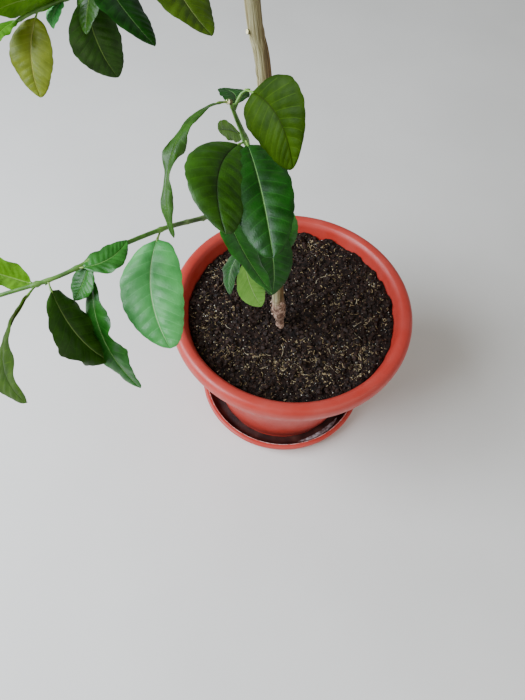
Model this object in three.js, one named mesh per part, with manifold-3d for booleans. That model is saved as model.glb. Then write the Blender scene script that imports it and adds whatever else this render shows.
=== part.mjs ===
// A young lemon tree in a terracotta-red plastic pot on its saucer.
// Millimetres, +Z up. The origin is the centre of the saucer's flat underside, and -Y is the side
// that the tree is looked at from.
//
// A tree is a set of shoots. Each shoot is one smooth curve: its first stretch is a bough, and past
// the bough's tip it goes on as the stem of a mass of foliage, which carries twigs and leaves.
import * as THREE from 'three';
import { mergeVertices } from 'three/addons/utils/BufferGeometryUtils.js';
import Module from 'manifold-3d';

const wasm = await Module();
wasm.setup();

// Clearance between pieces that touch on the real tree
const GAP = 0.3;

// Pot: a ring foot, then one straight cone of wall up to a rim turned over into a hanging skirt
const SIDES = 40;
const POT = { height: 292, wall: 3, floor: 3, footR: 128.5, footWidth: 14, innerTopR: 183, rimR: 207.7 };

// Outlines of the rim as [inset from rimR, drop below the top]: up its inside, its outside, its mouth
const RIM_INSIDE = [[12, 7], [3, 15], [6.4, 32]];
const RIM_OUTSIDE = [[4, 32], [1, 26], [0, 14], [1, 8], [5, 2], [12, 0]];
const RIM_MOUTH = [[18.7, 1], [23.1, 3.4]];
const RIM_ROOT = { drop: 12, corner: 4, skirtLap: 8 };

const SAUCER = { height: 31, floor: 2.6, baseR: 150, rimR: 165, innerR: 154.5, innerFootR: 143 };
const SAUCER_LIP = [[0, 6], [0.6, 1.2], [5, 0], [8.6, 1.1]];
const SAUCER_KNEE = { share: 0.3, outerInset: 4.5, innerFlare: 7.5 };

// Soil: its level, how it rises to +X and +Y, its lumps, and the level patch round the trunk
const SOIL = { level: 264, riseX: 0.016, riseY: 0.022, patch: 262, patchShare: 0.1, openShare: 0.4 };
const LUMP = { height: 1.6, alongX: 23, alongY: 19, fineX: 11, fineY: 13 };

// Trunk: a narrow neck in the soil, the swelling of the graft, then a slow taper and a lean to -X
const TRUNK_PATH = [
  [-19, -26, SOIL.patch + GAP], [-24, -24, 300], [-33, -22, 390], [-44, -19, 500],
  [-64, -10, 700], [-78, -8, 775], [-98, -2, 1000], [-104, 6, 1180],
];
const TRUNK = { low: 9.4, lowZ: 345, high: 7.4, highZ: 790, tip: 4.4, steps: 34, sides: 10 };
const GRAFT = { z: 306, swell: 1.6, spread: 17 };
const NECK = { z: 272, waist: 4, spread: 11 };
const COLLAR = { swell: 0.45, share: 0.2 };

// A leaf's blade: its share of stalk, the fold along its midrib in degrees, its thickness over its
// length and the places of its cross-sections
const STALK = 0.09;
const STALK_HALF = 1.4;
const FOLD = 14;
const THICKNESS = 1 / 70;
const STATIONS = [0, 0.34, 0.74];

// Twigs and leaves that grow by the seeded rule: angles in degrees, TURN is the step round a stem
const TURN = 137.5;
const LEAF = { short: 88, long: 120, slender: 0.54, spacing: 22, first: 12, tries: 9, retryTurn: 61 };
const LEAF_ANGLE = { spread: 56, tipSpread: 12, scatter: 50, roll: 36, steepest: -72 };
const LEAF_SAG = { least: 14, range: 34 };
const LEAF_BEND = { least: 18, range: 34, bow: 0.14 };
const TWIG = { count: 4, first: 0.16, last: 0.84, short: 54, long: 92, spread: 50, droop: 24, scatter: 40 };
const TWIG_RADIUS = { root: 1.9, tip: 1.1 };

// Least distances, from a leaf to a limb, another leaf or the edge of its space. Beads per limb.
const CLEAR = { limb: 9, listed: 1.5, leaf: 7, space: 1 };
const BEADS = 60;

// Nothing of the crown hangs below this plane, which rises toward -Y
const UNDERSIDE = { z: 785, perX: 0.03, perY: -0.499 };

const Z = new THREE.Vector3(0, 0, 1);
const { degToRad: rad, radToDeg, lerp, clamp, smoothstep } = THREE.MathUtils;

function heading(degrees, pitch) {
  const level = new THREE.Vector3(Math.cos(rad(degrees)), Math.sin(rad(degrees)), 0);
  return level.multiplyScalar(Math.cos(rad(pitch))).addScaledVector(Z, Math.sin(rad(pitch)));
}

function toAngles(direction) {
  const degrees = radToDeg(Math.atan2(direction.y, direction.x));
  return { heading: degrees, pitch: radToDeg(Math.asin(direction.z)) };
}

// Repeatable chance: the same seed always gives the same numbers from 0 to 1
function dice(seed) {
  let state = seed >>> 0;
  return () => {
    state = (state + 0x6D2B79F5) >>> 0;
    let mixed = Math.imul(state ^ (state >>> 15), 1 | state);
    mixed = (mixed + Math.imul(mixed ^ (mixed >>> 7), 61 | mixed)) ^ mixed;
    return ((mixed ^ (mixed >>> 14)) >>> 0) / 4294967296;
  };
}

// Curves

function curveThrough(points) {
  return new THREE.CatmullRomCurve3(points.map(p => new THREE.Vector3(...p)), false, 'catmullrom', 0.5);
}

function tangent(curve, f) {
  const step = 0.01;
  const ahead = curve.getPoint(Math.min(f + step, 1));
  return ahead.sub(curve.getPoint(Math.max(f - step, 0))).normalize();
}

function across(direction) {
  const side = direction.clone().cross(Z);
  return side.length() > 0.05 ? side.normalize() : new THREE.Vector3(1, 0, 0);
}

// Closed solids

// Rings of points, each counter-clockwise round the way ahead, closed by flat caps or by a pointed tip
function ringsToGeometry(rings, tip = null) {
  const count = rings[0].length;
  const points = tip ? [...rings.flat(), tip] : rings.flat();
  const faces = [];
  for (let r = 0; r < rings.length - 1; r++) {
    for (let k = 0; k < count; k++) {
      const a = r * count + k;
      const b = r * count + (k + 1) % count;
      faces.push(a, b, b + count, a, b + count, a + count);
    }
  }
  const last = (rings.length - 1) * count;
  for (let k = 1; k < count - 1; k++) {
    faces.push(0, k + 1, k);
    if (!tip) faces.push(last, last + k, last + k + 1);
  }
  for (let k = 0; tip && k < count; k++) faces.push(last + k, last + (k + 1) % count, last + count);
  const geometry = new THREE.BufferGeometry();
  const positions = points.flatMap(p => [p.x, p.y, p.z]);
  geometry.setAttribute('position', new THREE.Float32BufferAttribute(positions, 3));
  geometry.setIndex(faces);
  return geometry;
}

// A round tapering limb along part of a curve, its first ring moved ahead by shift or laid level
function limb(curve, { from = 0, to = 1, steps, sides, radiusAt, level = false, shift = 0 }) {
  const rings = [];
  let side = null;
  for (let i = 0; i <= steps; i++) {
    const f = from + (to - from) * i / steps;
    const ahead = level && i === 0 ? Z.clone() : tangent(curve, f);
    side = side ? side.addScaledVector(ahead, -side.dot(ahead)).normalize() : across(ahead);
    const other = ahead.clone().cross(side);
    const centre = curve.getPoint(f).addScaledVector(ahead, i === 0 ? shift : 0);
    const radius = radiusAt(f, centre.z);
    const ring = [];
    for (let k = 0; k < sides; k++) {
      const angle = 2 * Math.PI * k / sides;
      const point = centre.clone().addScaledVector(side, radius * Math.cos(angle));
      ring.push(point.addScaledVector(other, radius * Math.sin(angle)));
    }
    rings.push(ring);
  }
  return ringsToGeometry(rings);
}

function toSolid(geometry) {
  const bare = geometry.clone();
  bare.deleteAttribute('normal');
  bare.deleteAttribute('uv');
  const merged = mergeVertices(bare);
  return new wasm.Manifold(new wasm.Mesh({
    numProp: 3,
    vertProperties: new Float32Array(merged.attributes.position.array),
    triVerts: new Uint32Array(merged.index.array),
  }));
}

// The largest closed body of a solid: sealed hollows are filled and loose scraps are dropped
function toGeometry(solid) {
  const bodies = solid.decompose().sort((a, b) => b.volume() - a.volume());
  const mesh = bodies[0].getMesh();
  const geometry = new THREE.BufferGeometry();
  geometry.setAttribute('position', new THREE.BufferAttribute(mesh.vertProperties, 3));
  geometry.setIndex(new THREE.BufferAttribute(mesh.triVerts, 1));
  return geometry;
}

// Leaves

// A place on a leaf, t along it from 0 to 1. The blade bends evenly, away from its upper face, and
// its midrib bows sideways by leaf.bow.
function leafFrame(leaf, t) {
  const start = heading(leaf.heading, leaf.pitch);
  const level = heading(leaf.heading, 0).cross(Z);
  const face = level.clone().cross(start).multiplyScalar(Math.cos(rad(leaf.roll)));
  face.addScaledVector(level, Math.sin(rad(leaf.roll)));
  const bend = rad(Math.max(leaf.bend, 1));
  const angle = bend * t;
  const centre = leaf.base.clone().addScaledVector(start, leaf.length * Math.sin(angle) / bend);
  centre.addScaledVector(face, -leaf.length * (1 - Math.cos(angle)) / bend);
  const normal = face.clone().multiplyScalar(Math.cos(angle)).addScaledVector(start, Math.sin(angle));
  const side = start.cross(face);
  return { centre: centre.addScaledVector(side, leaf.bow * 4 * t * (1 - t)), normal, side };
}

// Half the blade's width: none on the stalk, widest just before the middle, then a blunt point
function halfWidth(leaf, t) {
  const s = (t - STALK) / (1 - STALK);
  return s <= 0 || s >= 1 ? 0 : leaf.width / 2 * Math.sin(Math.PI * s ** 0.85) ** 0.8;
}

// A point of the blade's surface, u across it from -1 to 1
function bladePoint(leaf, t, u) {
  const { centre, normal, side } = leafFrame(leaf, t);
  const half = Math.max(halfWidth(leaf, t), STALK_HALF);
  centre.addScaledVector(side, u * half * Math.cos(rad(FOLD)));
  return centre.addScaledVector(normal, Math.abs(u) * half * Math.sin(rad(FOLD)));
}

function leafGeometry(leaf) {
  const rings = STATIONS.map(t => {
    const { centre, normal } = leafFrame(leaf, t);
    const depth = leaf.length * THICKNESS / 2;
    const under = centre.clone().addScaledVector(normal, -depth);
    const upper = centre.clone().addScaledVector(normal, depth);
    return [bladePoint(leaf, t, 1), under, bladePoint(leaf, t, -1), upper];
  });
  return ringsToGeometry(rings, leafFrame(leaf, 1).centre);
}

// A grid of points over the blade, less than twice CLEAR.leaf apart, for the tests of clearance
function leafGrid(leaf) {
  const grid = [];
  for (let i = 2; i <= 10; i++) {
    for (let u = -1; u <= 1; u += 0.5) grid.push(bladePoint(leaf, i / 10, u));
  }
  return grid;
}

// Shoots that the tree is seen to have, by hand: path, share that is bough, twigs and leaves.
// A leaf is [stem 0 or twig 1.., place on it, heading, pitch, roll, length, width, bend, bow].

const SHOOTS = [
  {
    name: 'low',
    path: [[-47, -18, 530], [-64, -56, 600], [-83, -91, 687], [-91, -100, 716], [-97, -108, 740]],
    bough: 0.16, radius: 4.2, tip: 1.6, centre: [-85, -120, 615], reach: 190,
    twigs: [
      [[-60, -46, 583], [-68, -75, 575], [-78, -92, 548], [-84, -95, 520]],
      [[-73, -74, 638], [-88, -92, 632], [-103, -109, 620]],
      [[-94, -104, 728], [-88, -101, 741], [-83, -101, 746]],
    ],
    leaves: [
      [0, 0.51, -84, 11, 14, 138, 58, 40, -4],
      [3, 1.00, -74, -12, 58, 82, 63, 37, -17],
      [0, 0.49, -94, 14, -17, 119, 63, 33, 19],
      [0, 0.53, 116, -31, 76, 73, 24, 10, -3],
      [0, 0.92, 103, -7, 4, 52, 28, 19, 8],
      [0, 0.99, -137, 27, 27, 153, 17, 111, 2],
      [2, 1.00, -59, 0, -28, 114, 38, 24, 16],
      [1, 0.32, -72, -55, 18, 115, 50, 20, -9],
      [1, 0.80, -121, -27, 43, 61, 41, 20, 12],
      [1, 1.00, -48, -60, 6, 78, 42, 5, 5],
      [1, 0.05, -55, -52, 43, 82, 45, 20, -6],
    ],
  },
  {
    name: 'side',
    path: [
      [-44, -19, 500], [-76, -62, 564], [-106, -104, 602], [-134, -130, 618], [-164, -157, 633],
      [-205, -197, 648], [-250, -228, 646], [-306, -248, 640], [-345, -258, 628],
    ],
    bough: 0.47, radius: 3.2, tip: 2.0, centre: [-254, -182, 554], reach: 215,
    twigs: [],
    leaves: [
      [0, 0.505, -86, -10, 9, 120, 64, 26, 13],
      [0, 0.67, -85, -27, 42, 131, 41, 41, 12],
      [0, 0.77, -34, -39, -28, 95, 56, 24, 18],
      [0, 0.71, 38, 12, -4, 53, 33, 20, 12],
      [0, 0.68, -125, -31, 9, 40, 29, 20, -4],
      [0, 0.79, -107, 23, 66, 134, 46, 60, 20],
      [0, 0.79, 164, 23, 98, 56, 42, 20, 5],
      [0, 0.88, -130, -14, 10, 104, 54, 30, 6],
      [0, 0.925, 105, -6, -10, 92, 48, 30, -6],
      [0, 1.00, -165, -12, 12, 98, 50, 30, 4],
    ],
  },
  {
    name: 'left',
    path: [
      [-87, -4, 860], [-140, 45, 868], [-195, 105, 820], [-236, 150, 745],
      [-263, 141, 708], [-323, 102, 697], [-365, 75, 684],
    ],
    bough: 0.33, radius: 4.6, tip: 1.6, centre: [-270, 110, 730], reach: 210,
    twigs: [[[-207, 120, 797], [-190, 150, 765], [-175, 162, 738]]],
    leaves: [
      [1, 1.00, -56, -18, -9, 111, 65, 14, 13],
      [0, 0.59, -48, -14, -16, 109, 58, 16, 10],
      [0, 0.68, -51, -52, -3, 96, 67, 25, 12],
      [0, 0.57, -112, -28, 21, 76, 43, 20, 3],
      [0, 0.74, -120, -22, 16, 36, 28, 20, 7],
      [0, 0.81, -101, -45, -7, 91, 51, 22, 8],
      [0, 0.73, -146, 13, 65, 92, 54, 20, -4],
      [0, 0.87, -123, 0, 13, 52, 34, 20, 6],
      [0, 1.00, -160, -40, 0, 95, 50, 25, 4],
      [0, 0.43, -170, 0, 10, 100, 54, 35, -6],
      [0, 0.50, 150, -10, -8, 92, 50, 30, 5],
      [0, 0.62, 165, -15, 8, 96, 52, 30, -5],
    ],
  },
];

// Crown shoots by rule: they leave the trunk at even heights, turning round it, and stand up more
// and grow shorter toward its tip. The last one goes straight on from the trunk's tip.
const CROWN = {
  count: 8, lowZ: 885, highZ: 1120, firstHeading: -35, reach: 165, radius: 4.2, tip: 1.5,
  firstSeed: 11, seedStep: 7,
};
const CROWN_BOUGH = { long: 150, short: 95, low: 26, high: 56 };
const CROWN_STEM = { long: 150, short: 125, lift: 14 };
const LEADER = { length: 230, reach: 165, seed: 97, centre: 0.65 };

// A path of even steps whose pitch turns evenly by turn degrees
function steppedPath(root, degrees, pitch, length, turn, steps = 5) {
  const points = [root.clone()];
  for (let i = 0; i < steps; i++) {
    const step = heading(degrees, pitch + turn * i / (steps - 1));
    points.push(points[i].clone().addScaledVector(step, length / steps));
  }
  return points.map(p => p.toArray());
}

const trunkCurve = curveThrough(TRUNK_PATH);

// The trunk's centre at a height
function trunkAt(z) {
  let low = 0;
  let high = 1;
  while (high - low > 1e-6) {
    const middle = (low + high) / 2;
    if (trunkCurve.getPoint(middle).z < z) low = middle;
    else high = middle;
  }
  return trunkCurve.getPoint(low);
}

function crownShoot(index) {
  const share = index / (CROWN.count - 1);
  const boughLength = lerp(CROWN_BOUGH.long, CROWN_BOUGH.short, share);
  const length = boughLength + lerp(CROWN_STEM.long, CROWN_STEM.short, share);
  const root = trunkAt(lerp(CROWN.lowZ, CROWN.highZ, share));
  const pitch = lerp(CROWN_BOUGH.low, CROWN_BOUGH.high, share);
  const path = steppedPath(root, CROWN.firstHeading + TURN * index, pitch, length, CROWN_STEM.lift);
  const bough = boughLength / length;
  const centre = curveThrough(path).getPoint((1 + bough) / 2).toArray();
  const { reach, radius, tip } = CROWN;
  const seed = CROWN.firstSeed + CROWN.seedStep * index;
  return { name: `crown_${index + 1}`, path, bough, centre, reach, radius, tip, seed };
}

function leaderShoot() {
  const { length, reach, seed } = LEADER;
  const ahead = toAngles(tangent(trunkCurve, 1));
  const path = steppedPath(trunkCurve.getPoint(1), ahead.heading, ahead.pitch, length, 0);
  const centre = curveThrough(path).getPoint(LEADER.centre).toArray();
  return { name: 'top', path, bough: 0, centre, reach, radius: TRUNK.tip, tip: CROWN.tip, seed };
}

const crownShoots = Array.from({ length: CROWN.count }, (_, index) => crownShoot(index));
const shoots = [...SHOOTS, ...crownShoots, leaderShoot()];

// Spaces and clearances

// Each mass keeps to its own ball and to its own side of the plane that parts it from each other mass
function inSpace(point, shoot) {
  const centre = new THREE.Vector3(...shoot.centre);
  const own = point.distanceToSquared(centre) - shoot.reach ** 2;
  if (own > 0) return false;
  const floor = UNDERSIDE.z + UNDERSIDE.perX * point.x + UNDERSIDE.perY * point.y;
  if (shoot.seed && point.z < floor) return false;
  return shoots.every(other => {
    if (other === shoot) return true;
    const away = new THREE.Vector3(...other.centre);
    const theirs = point.distanceToSquared(away) - other.reach ** 2;
    return (theirs - own) / (2 * centre.distanceTo(away)) > CLEAR.space;
  });
}

function trunkRadius(z) {
  const bump = (at, spread) => Math.exp(-(((z - at) / spread) ** 2));
  const top = TRUNK_PATH.at(-1)[2];
  const taper = z < TRUNK.highZ
    ? lerp(TRUNK.low, TRUNK.high, clamp((z - TRUNK.lowZ) / (TRUNK.highZ - TRUNK.lowZ), 0, 1))
    : lerp(TRUNK.high, TRUNK.tip, clamp((z - TRUNK.highZ) / (top - TRUNK.highZ), 0, 1));
  return taper + GRAFT.swell * bump(GRAFT.z, GRAFT.spread) - NECK.waist * bump(NECK.z, NECK.spread);
}

function shootRadius(shoot, f) {
  return lerp(shoot.radius, shoot.tip, f);
}

// Beads strung along the trunk and the boughs, for the tests of clearance. A bough's last stretch
// has none, so that the first leaves of its mass can stand there.
function beads(curve, to, radiusAt) {
  return Array.from({ length: BEADS + 1 }, (_, i) => {
    const centre = curve.getPoint(to * i / BEADS);
    return { centre, radius: radiusAt(to * i / BEADS, centre.z) };
  });
}

const BEADED_SHARE = 0.94;
const limbBeads = [beads(trunkCurve, 1, (f, z) => trunkRadius(z))];
for (const shoot of shoots) {
  shoot.curve = curveThrough(shoot.path);
  limbBeads.push(beads(shoot.curve, shoot.bough * BEADED_SHARE, f => shootRadius(shoot, f)));
}

function clearOfLimbs(points, clearance = CLEAR.limb) {
  return limbBeads.flat().every(bead =>
    points.every(point => point.distanceTo(bead.centre) > bead.radius + clearance));
}

// Growth of one mass

// A direction that leaves a stem at an angle, turned round it
function branchOff(curve, f, spread, turn) {
  const ahead = tangent(curve, f);
  const side = across(ahead);
  const other = side.clone().cross(ahead);
  const out = side.multiplyScalar(Math.cos(rad(turn))).addScaledVector(other, Math.sin(rad(turn)));
  return ahead.multiplyScalar(Math.cos(rad(spread))).addScaledVector(out, Math.sin(rad(spread)));
}

function seededTwigs(shoot, roll) {
  const twigs = [];
  const first = shoot.bough + (1 - shoot.bough) * TWIG.first;
  const last = shoot.bough + (1 - shoot.bough) * TWIG.last;
  for (let i = 0; i < TWIG.count; i++) {
    const share = i / (TWIG.count - 1);
    const f = first + (last - first) * share;
    const length = lerp(TWIG.long, TWIG.short, share) * (0.85 + 0.3 * roll());
    const turn = TURN * i + TWIG.scatter * roll();
    const angles = toAngles(branchOff(shoot.curve, f, TWIG.spread, turn));
    const path = steppedPath(shoot.curve.getPoint(f), angles.heading, angles.pitch, length, -TWIG.droop, 3);
    const curve = curveThrough(path);
    const fits = [0.4, 0.7, 1].every(t => inSpace(curve.getPoint(t), shoot));
    if (fits && clearOfLimbs([curve.getPoint(0.6), curve.getPoint(1)])) twigs.push(curve);
  }
  return twigs;
}

// One leaf on a stem: it leaves the stem at an angle, sags and is turned about its midrib by chance
function seededLeaf(curve, f, turn, size, roll) {
  const spread = f < 1 ? LEAF_ANGLE.spread : LEAF_ANGLE.tipSpread;
  const scatter = LEAF_ANGLE.scatter * (roll() - 0.5);
  const angles = toAngles(branchOff(curve, f, spread, turn + scatter));
  const sag = (LEAF_SAG.least + LEAF_SAG.range * roll()) * Math.cos(rad(angles.pitch));
  const length = size * (0.92 + 0.16 * roll());
  return {
    base: curve.getPoint(f),
    heading: angles.heading,
    pitch: Math.max(angles.pitch - sag, LEAF_ANGLE.steepest),
    roll: LEAF_ANGLE.roll * (roll() - 0.5),
    length,
    width: length * LEAF.slender * (0.9 + 0.2 * roll()),
    bend: LEAF_BEND.least + LEAF_BEND.range * roll(),
    bow: length * LEAF_BEND.bow * (roll() - 0.5),
  };
}

function seededLeaves(shoot, stems, roll) {
  const leaves = [];
  const grids = [];
  stems.forEach((curve, index) => {
    const length = curve.getLength();
    const from = index === 0 ? shoot.bough : 0;
    const run = length * (1 - from);
    const count = Math.floor((run - LEAF.first) / LEAF.spacing) + 1;
    for (let i = 0; i <= count; i++) {
      const place = i === count ? 1 : from + (1 - from) * (LEAF.first + LEAF.spacing * i) / run;
      if (place > 1) continue;
      const size = lerp(LEAF.long, LEAF.short, i / count);
      for (let attempt = 0; attempt < LEAF.tries; attempt++) {
        const turn = TURN * i + LEAF.retryTurn * attempt;
        const leaf = seededLeaf(curve, place, turn, size, roll);
        const grid = leafGrid(leaf);
        const crowded = grids.some(other =>
          other.some(a => grid.some(b => a.distanceTo(b) < CLEAR.leaf)));
        if (crowded || !clearOfLimbs(grid) || !grid.every(point => inSpace(point, shoot))) continue;
        leaves.push(leaf);
        grids.push(grid);
        break;
      }
    }
  });
  return leaves;
}

function listedLeaves(shoot, stems) {
  const leaves = shoot.leaves.map(([stem, place, degrees, pitch, roll, length, width, bend, bow]) => ({
    base: stems[stem].getPoint(place), heading: degrees, pitch, roll, length, width, bend, bow,
  }));
  return leaves.filter(leaf => {
    const grid = leafGrid(leaf);
    return clearOfLimbs(grid, CLEAR.listed) && grid.every(point => inSpace(point, shoot));
  });
}

// Everything that grows on a shoot past its bough: the twigs' curves and the leaves
function grow(shoot) {
  const roll = dice(shoot.seed ?? 0);
  const twigs = shoot.seed ? seededTwigs(shoot, roll) : shoot.twigs.map(curveThrough);
  const stems = [shoot.curve, ...twigs];
  const leaves = shoot.seed ? seededLeaves(shoot, stems, roll) : listedLeaves(shoot, stems);
  return { twigs, leaves };
}

// Sub-parts

const trunkLimb = { steps: TRUNK.steps, sides: TRUNK.sides, level: true };

function trunkGeometry() {
  return limb(trunkCurve, { ...trunkLimb, radiusAt: (f, z) => trunkRadius(z) });
}

const trunkAndGap = toSolid(limb(trunkCurve, { ...trunkLimb, radiusAt: (f, z) => trunkRadius(z) + GAP }));

// A bough from the trunk's bark to the foot of its mass, with a collar where it leaves the trunk
function boughGeometry(shoot) {
  const collar = f => 1 + COLLAR.swell * Math.exp(-((f / shoot.bough / COLLAR.share) ** 2));
  const radiusAt = f => shootRadius(shoot, f) * collar(f);
  const whole = toSolid(limb(shoot.curve, { to: shoot.bough, steps: 6, sides: 6, radiusAt }));
  return toGeometry(whole.subtract(trunkAndGap));
}

function foliageGeometry(shoot) {
  const { twigs, leaves } = grow(shoot);
  const radiusAt = f => shootRadius(shoot, f);
  const twigRadius = f => lerp(TWIG_RADIUS.root, TWIG_RADIUS.tip, f);
  const stem = limb(shoot.curve, { from: shoot.bough, steps: 5, sides: 5, radiusAt, shift: GAP });
  const pieces = [
    ...twigs.map(curve => limb(curve, { steps: 3, sides: 3, radiusAt: twigRadius })),
    ...leaves.map(leafGeometry),
  ];
  return toGeometry(pieces.reduce((whole, piece) => whole.add(toSolid(piece)), toSolid(stem)));
}

// A turned piece: a closed outline of [radius, height] from axis to axis, anticlockwise on the page
function turned(outline) {
  const geometry = new THREE.LatheGeometry(outline.map(([r, z]) => new THREE.Vector2(r, z)), SIDES);
  return geometry.rotateX(Math.PI / 2);
}

function innerPotRadius(z) {
  const footZ = SAUCER.floor + GAP;
  const slope = (POT.innerTopR + POT.wall - POT.footR) / (POT.height - footZ);
  return POT.footR - POT.wall + slope * (z - footZ);
}

function insetFrom(radius, height, outline) {
  return outline.map(([inset, drop]) => [radius - inset, height - drop]);
}

// The pot stands on its ring foot in the saucer, and the rim's skirt hangs clear of the wall
function potGeometry() {
  const { height, wall, floor, footR, footWidth, rimR } = POT;
  const foot = SAUCER.floor + GAP;
  const inside = foot + floor + wall;
  const outer = z => innerPotRadius(z) + wall;
  const rimRoot = height - RIM_ROOT.drop;
  const belowSkirt = height - RIM_INSIDE.at(-1)[1] - RIM_ROOT.skirtLap;
  const mouth = height - RIM_OUTSIDE[3][1];
  return turned([
    [0, foot + wall], [footR - footWidth - wall, foot + wall], [footR - footWidth, foot],
    [footR - wall / 2, foot], [outer(foot + wall), foot + wall],
    [outer(belowSkirt), belowSkirt], [outer(rimRoot), rimRoot],
    [outer(rimRoot) + RIM_ROOT.corner, height - RIM_INSIDE[0][1]],
    ...insetFrom(rimR, height, [...RIM_INSIDE, ...RIM_OUTSIDE, ...RIM_MOUTH]),
    [innerPotRadius(mouth), mouth], [innerPotRadius(inside), inside], [0, inside],
  ]);
}

// The saucer: a flat underside, a flared wall and a thin turned lip
function saucerGeometry() {
  const { height, floor, baseR, rimR, innerR, innerFootR } = SAUCER;
  const knee = height * SAUCER_KNEE.share;
  return turned([
    [0, 0], [baseR, 0], [rimR - SAUCER_KNEE.outerInset, knee],
    ...insetFrom(rimR, height, SAUCER_LIP),
    [innerR, height - 2 * floor], [innerFootR + SAUCER_KNEE.innerFlare, knee],
    [innerFootR, floor], [0, floor],
  ]);
}

// Height of the soil: it rises a little to +X and +Y, with lumps, round a level patch for the trunk
function soilHeight(x, y, share) {
  const broad = Math.sin(x / LUMP.alongX + 1.3) * Math.sin(y / LUMP.alongY + 0.4);
  const fine = Math.sin(x / LUMP.fineX - y / LUMP.fineY);
  const open = SOIL.level + SOIL.riseX * x + SOIL.riseY * y + LUMP.height * (broad + fine);
  return lerp(SOIL.patch, open, smoothstep(share, SOIL.patchShare, SOIL.openShare));
}

// The soil fills the pot. Its rings run out from the trunk's foot to the wall.
function soilGeometry() {
  const [footX, footY] = TRUNK_PATH[0];
  const bottom = SAUCER.floor + POT.floor + POT.wall + 2 * GAP;
  const ring = (share, heightAt) => Array.from({ length: SIDES }, (_, k) => {
    const angle = 2 * Math.PI * k / SIDES;
    const reach = innerPotRadius(SOIL.level) - GAP;
    const x = footX * (1 - share) + reach * share * Math.sin(angle);
    const y = footY * (1 - share) - reach * share * Math.cos(angle);
    const z = heightAt(x, y);
    const radius = innerPotRadius(z) - GAP;
    return share < 1 ? new THREE.Vector3(x, y, z)
      : new THREE.Vector3(radius * Math.sin(angle), -radius * Math.cos(angle), z);
  });
  const shares = [1, 0.9, 0.74, 0.58, 0.42, 0.26, SOIL.patchShare];
  const surface = shares.map(share => ring(share, (x, y) => soilHeight(x, y, share)));
  return ringsToGeometry([ring(1, () => bottom), ...surface]);
}

// The finished tree

const FINISH = {
  plastic: { color: 0xb5483a, roughness: 0.5 },
  soil: { color: 0x241a16, roughness: 0.95 },
  bark: { color: 0x6f6d52, roughness: 0.85 },
  shoot: { color: 0x4c7a2a, roughness: 0.6 },
  leaf: { color: 0x2f6a26, roughness: 0.4 },
};

const tree = new THREE.Group();

function place(name, geometry, finish) {
  const material = new THREE.MeshStandardMaterial({ ...FINISH[finish], metalness: 0 });
  const mesh = new THREE.Mesh(geometry, material);
  mesh.name = name;
  tree.add(mesh);
}

place('saucer', saucerGeometry(), 'plastic');
place('pot', potGeometry(), 'plastic');
place('soil', soilGeometry(), 'soil');
place('trunk', trunkGeometry(), 'bark');
for (const shoot of shoots) {
  if (shoot.bough > 0) place(`bough_${shoot.name}`, boughGeometry(shoot), 'shoot');
  place(`foliage_${shoot.name}`, foliageGeometry(shoot), 'leaf');
}

export default tree;
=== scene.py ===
import math
from types import SimpleNamespace

import bpy
import numpy as np
from mathutils import Matrix, Vector


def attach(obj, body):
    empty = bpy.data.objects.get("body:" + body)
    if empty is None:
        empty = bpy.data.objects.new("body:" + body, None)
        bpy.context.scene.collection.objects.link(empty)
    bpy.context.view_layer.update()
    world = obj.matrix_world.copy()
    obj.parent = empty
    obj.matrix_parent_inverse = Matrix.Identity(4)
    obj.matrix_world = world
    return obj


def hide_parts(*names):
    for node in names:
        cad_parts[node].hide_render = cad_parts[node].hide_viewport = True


# A young lemon tree in a terracotta-red plastic pot on its saucer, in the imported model's frame:
# +Z up, -Y toward the viewer. Sizes are in millimetres and turn to metres as a mesh is made.
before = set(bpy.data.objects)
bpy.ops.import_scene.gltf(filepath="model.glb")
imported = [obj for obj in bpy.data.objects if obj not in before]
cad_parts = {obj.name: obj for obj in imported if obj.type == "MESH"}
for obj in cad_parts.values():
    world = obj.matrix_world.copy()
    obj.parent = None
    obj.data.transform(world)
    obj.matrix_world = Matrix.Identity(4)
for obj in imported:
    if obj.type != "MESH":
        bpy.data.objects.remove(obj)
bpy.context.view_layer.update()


# Saucer
# A round dish of terracotta-red polypropylene, injection moulded in one piece, with a flared wall
# and a thin turned lip. The pot only stands in it.

MM = 0.001
SAUCER_TOP = 31
SAUCER_FLOOR = 2.6
SAUCER_OUTER = [
    (0, 0, 0), (150, 0, 3), (160.5, 9.3, 8), (165.5, 25, 3), (165, 29.8, 2), (160, SAUCER_TOP, 2),
]
SAUCER_INNER = [
    (156.4, 29.9, 1), (154.5, 25, 2), (150.5, 9.3, 6), (143, SAUCER_FLOOR, 4), (0, SAUCER_FLOOR, 0),
]
TERRACOTTA = "#AE3024"
TERRACOTTA_DUSTY = "#B44238"


def linear(hex_colour):
    """An sRGB hex colour as linear red, green, blue and alpha."""
    shares = [int(hex_colour[i:i + 2], 16) / 255 for i in (1, 3, 5)]
    return [s / 12.92 if s <= 0.04045 else ((s + 0.055) / 1.055) ** 2.4 for s in shares] + [1.0]


def add_node(tree, kind, inputs=None, feeds=None, stops=None, **settings):
    """A node with its settings and links. inputs gives each input a value or another node's output,
    feeds leads an output on to an input, and stops are a ramp's places and hex colours."""
    made = tree.nodes.new(kind)
    for name, value in settings.items():
        setattr(made, name, value)
    for name, value in (inputs or {}).items():
        if isinstance(value, bpy.types.NodeSocket):
            tree.links.new(value, made.inputs[name])
        else:
            made.inputs[name].default_value = value
    for name, socket in (feeds or {}).items():
        tree.links.new(made.outputs[name], socket)
    if stops:
        while len(made.color_ramp.elements) < len(stops):
            made.color_ramp.elements.new(1.0)
        for element, (place, colour) in zip(made.color_ramp.elements, stops):
            element.position, element.color = place, linear(colour)
    return made


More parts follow.
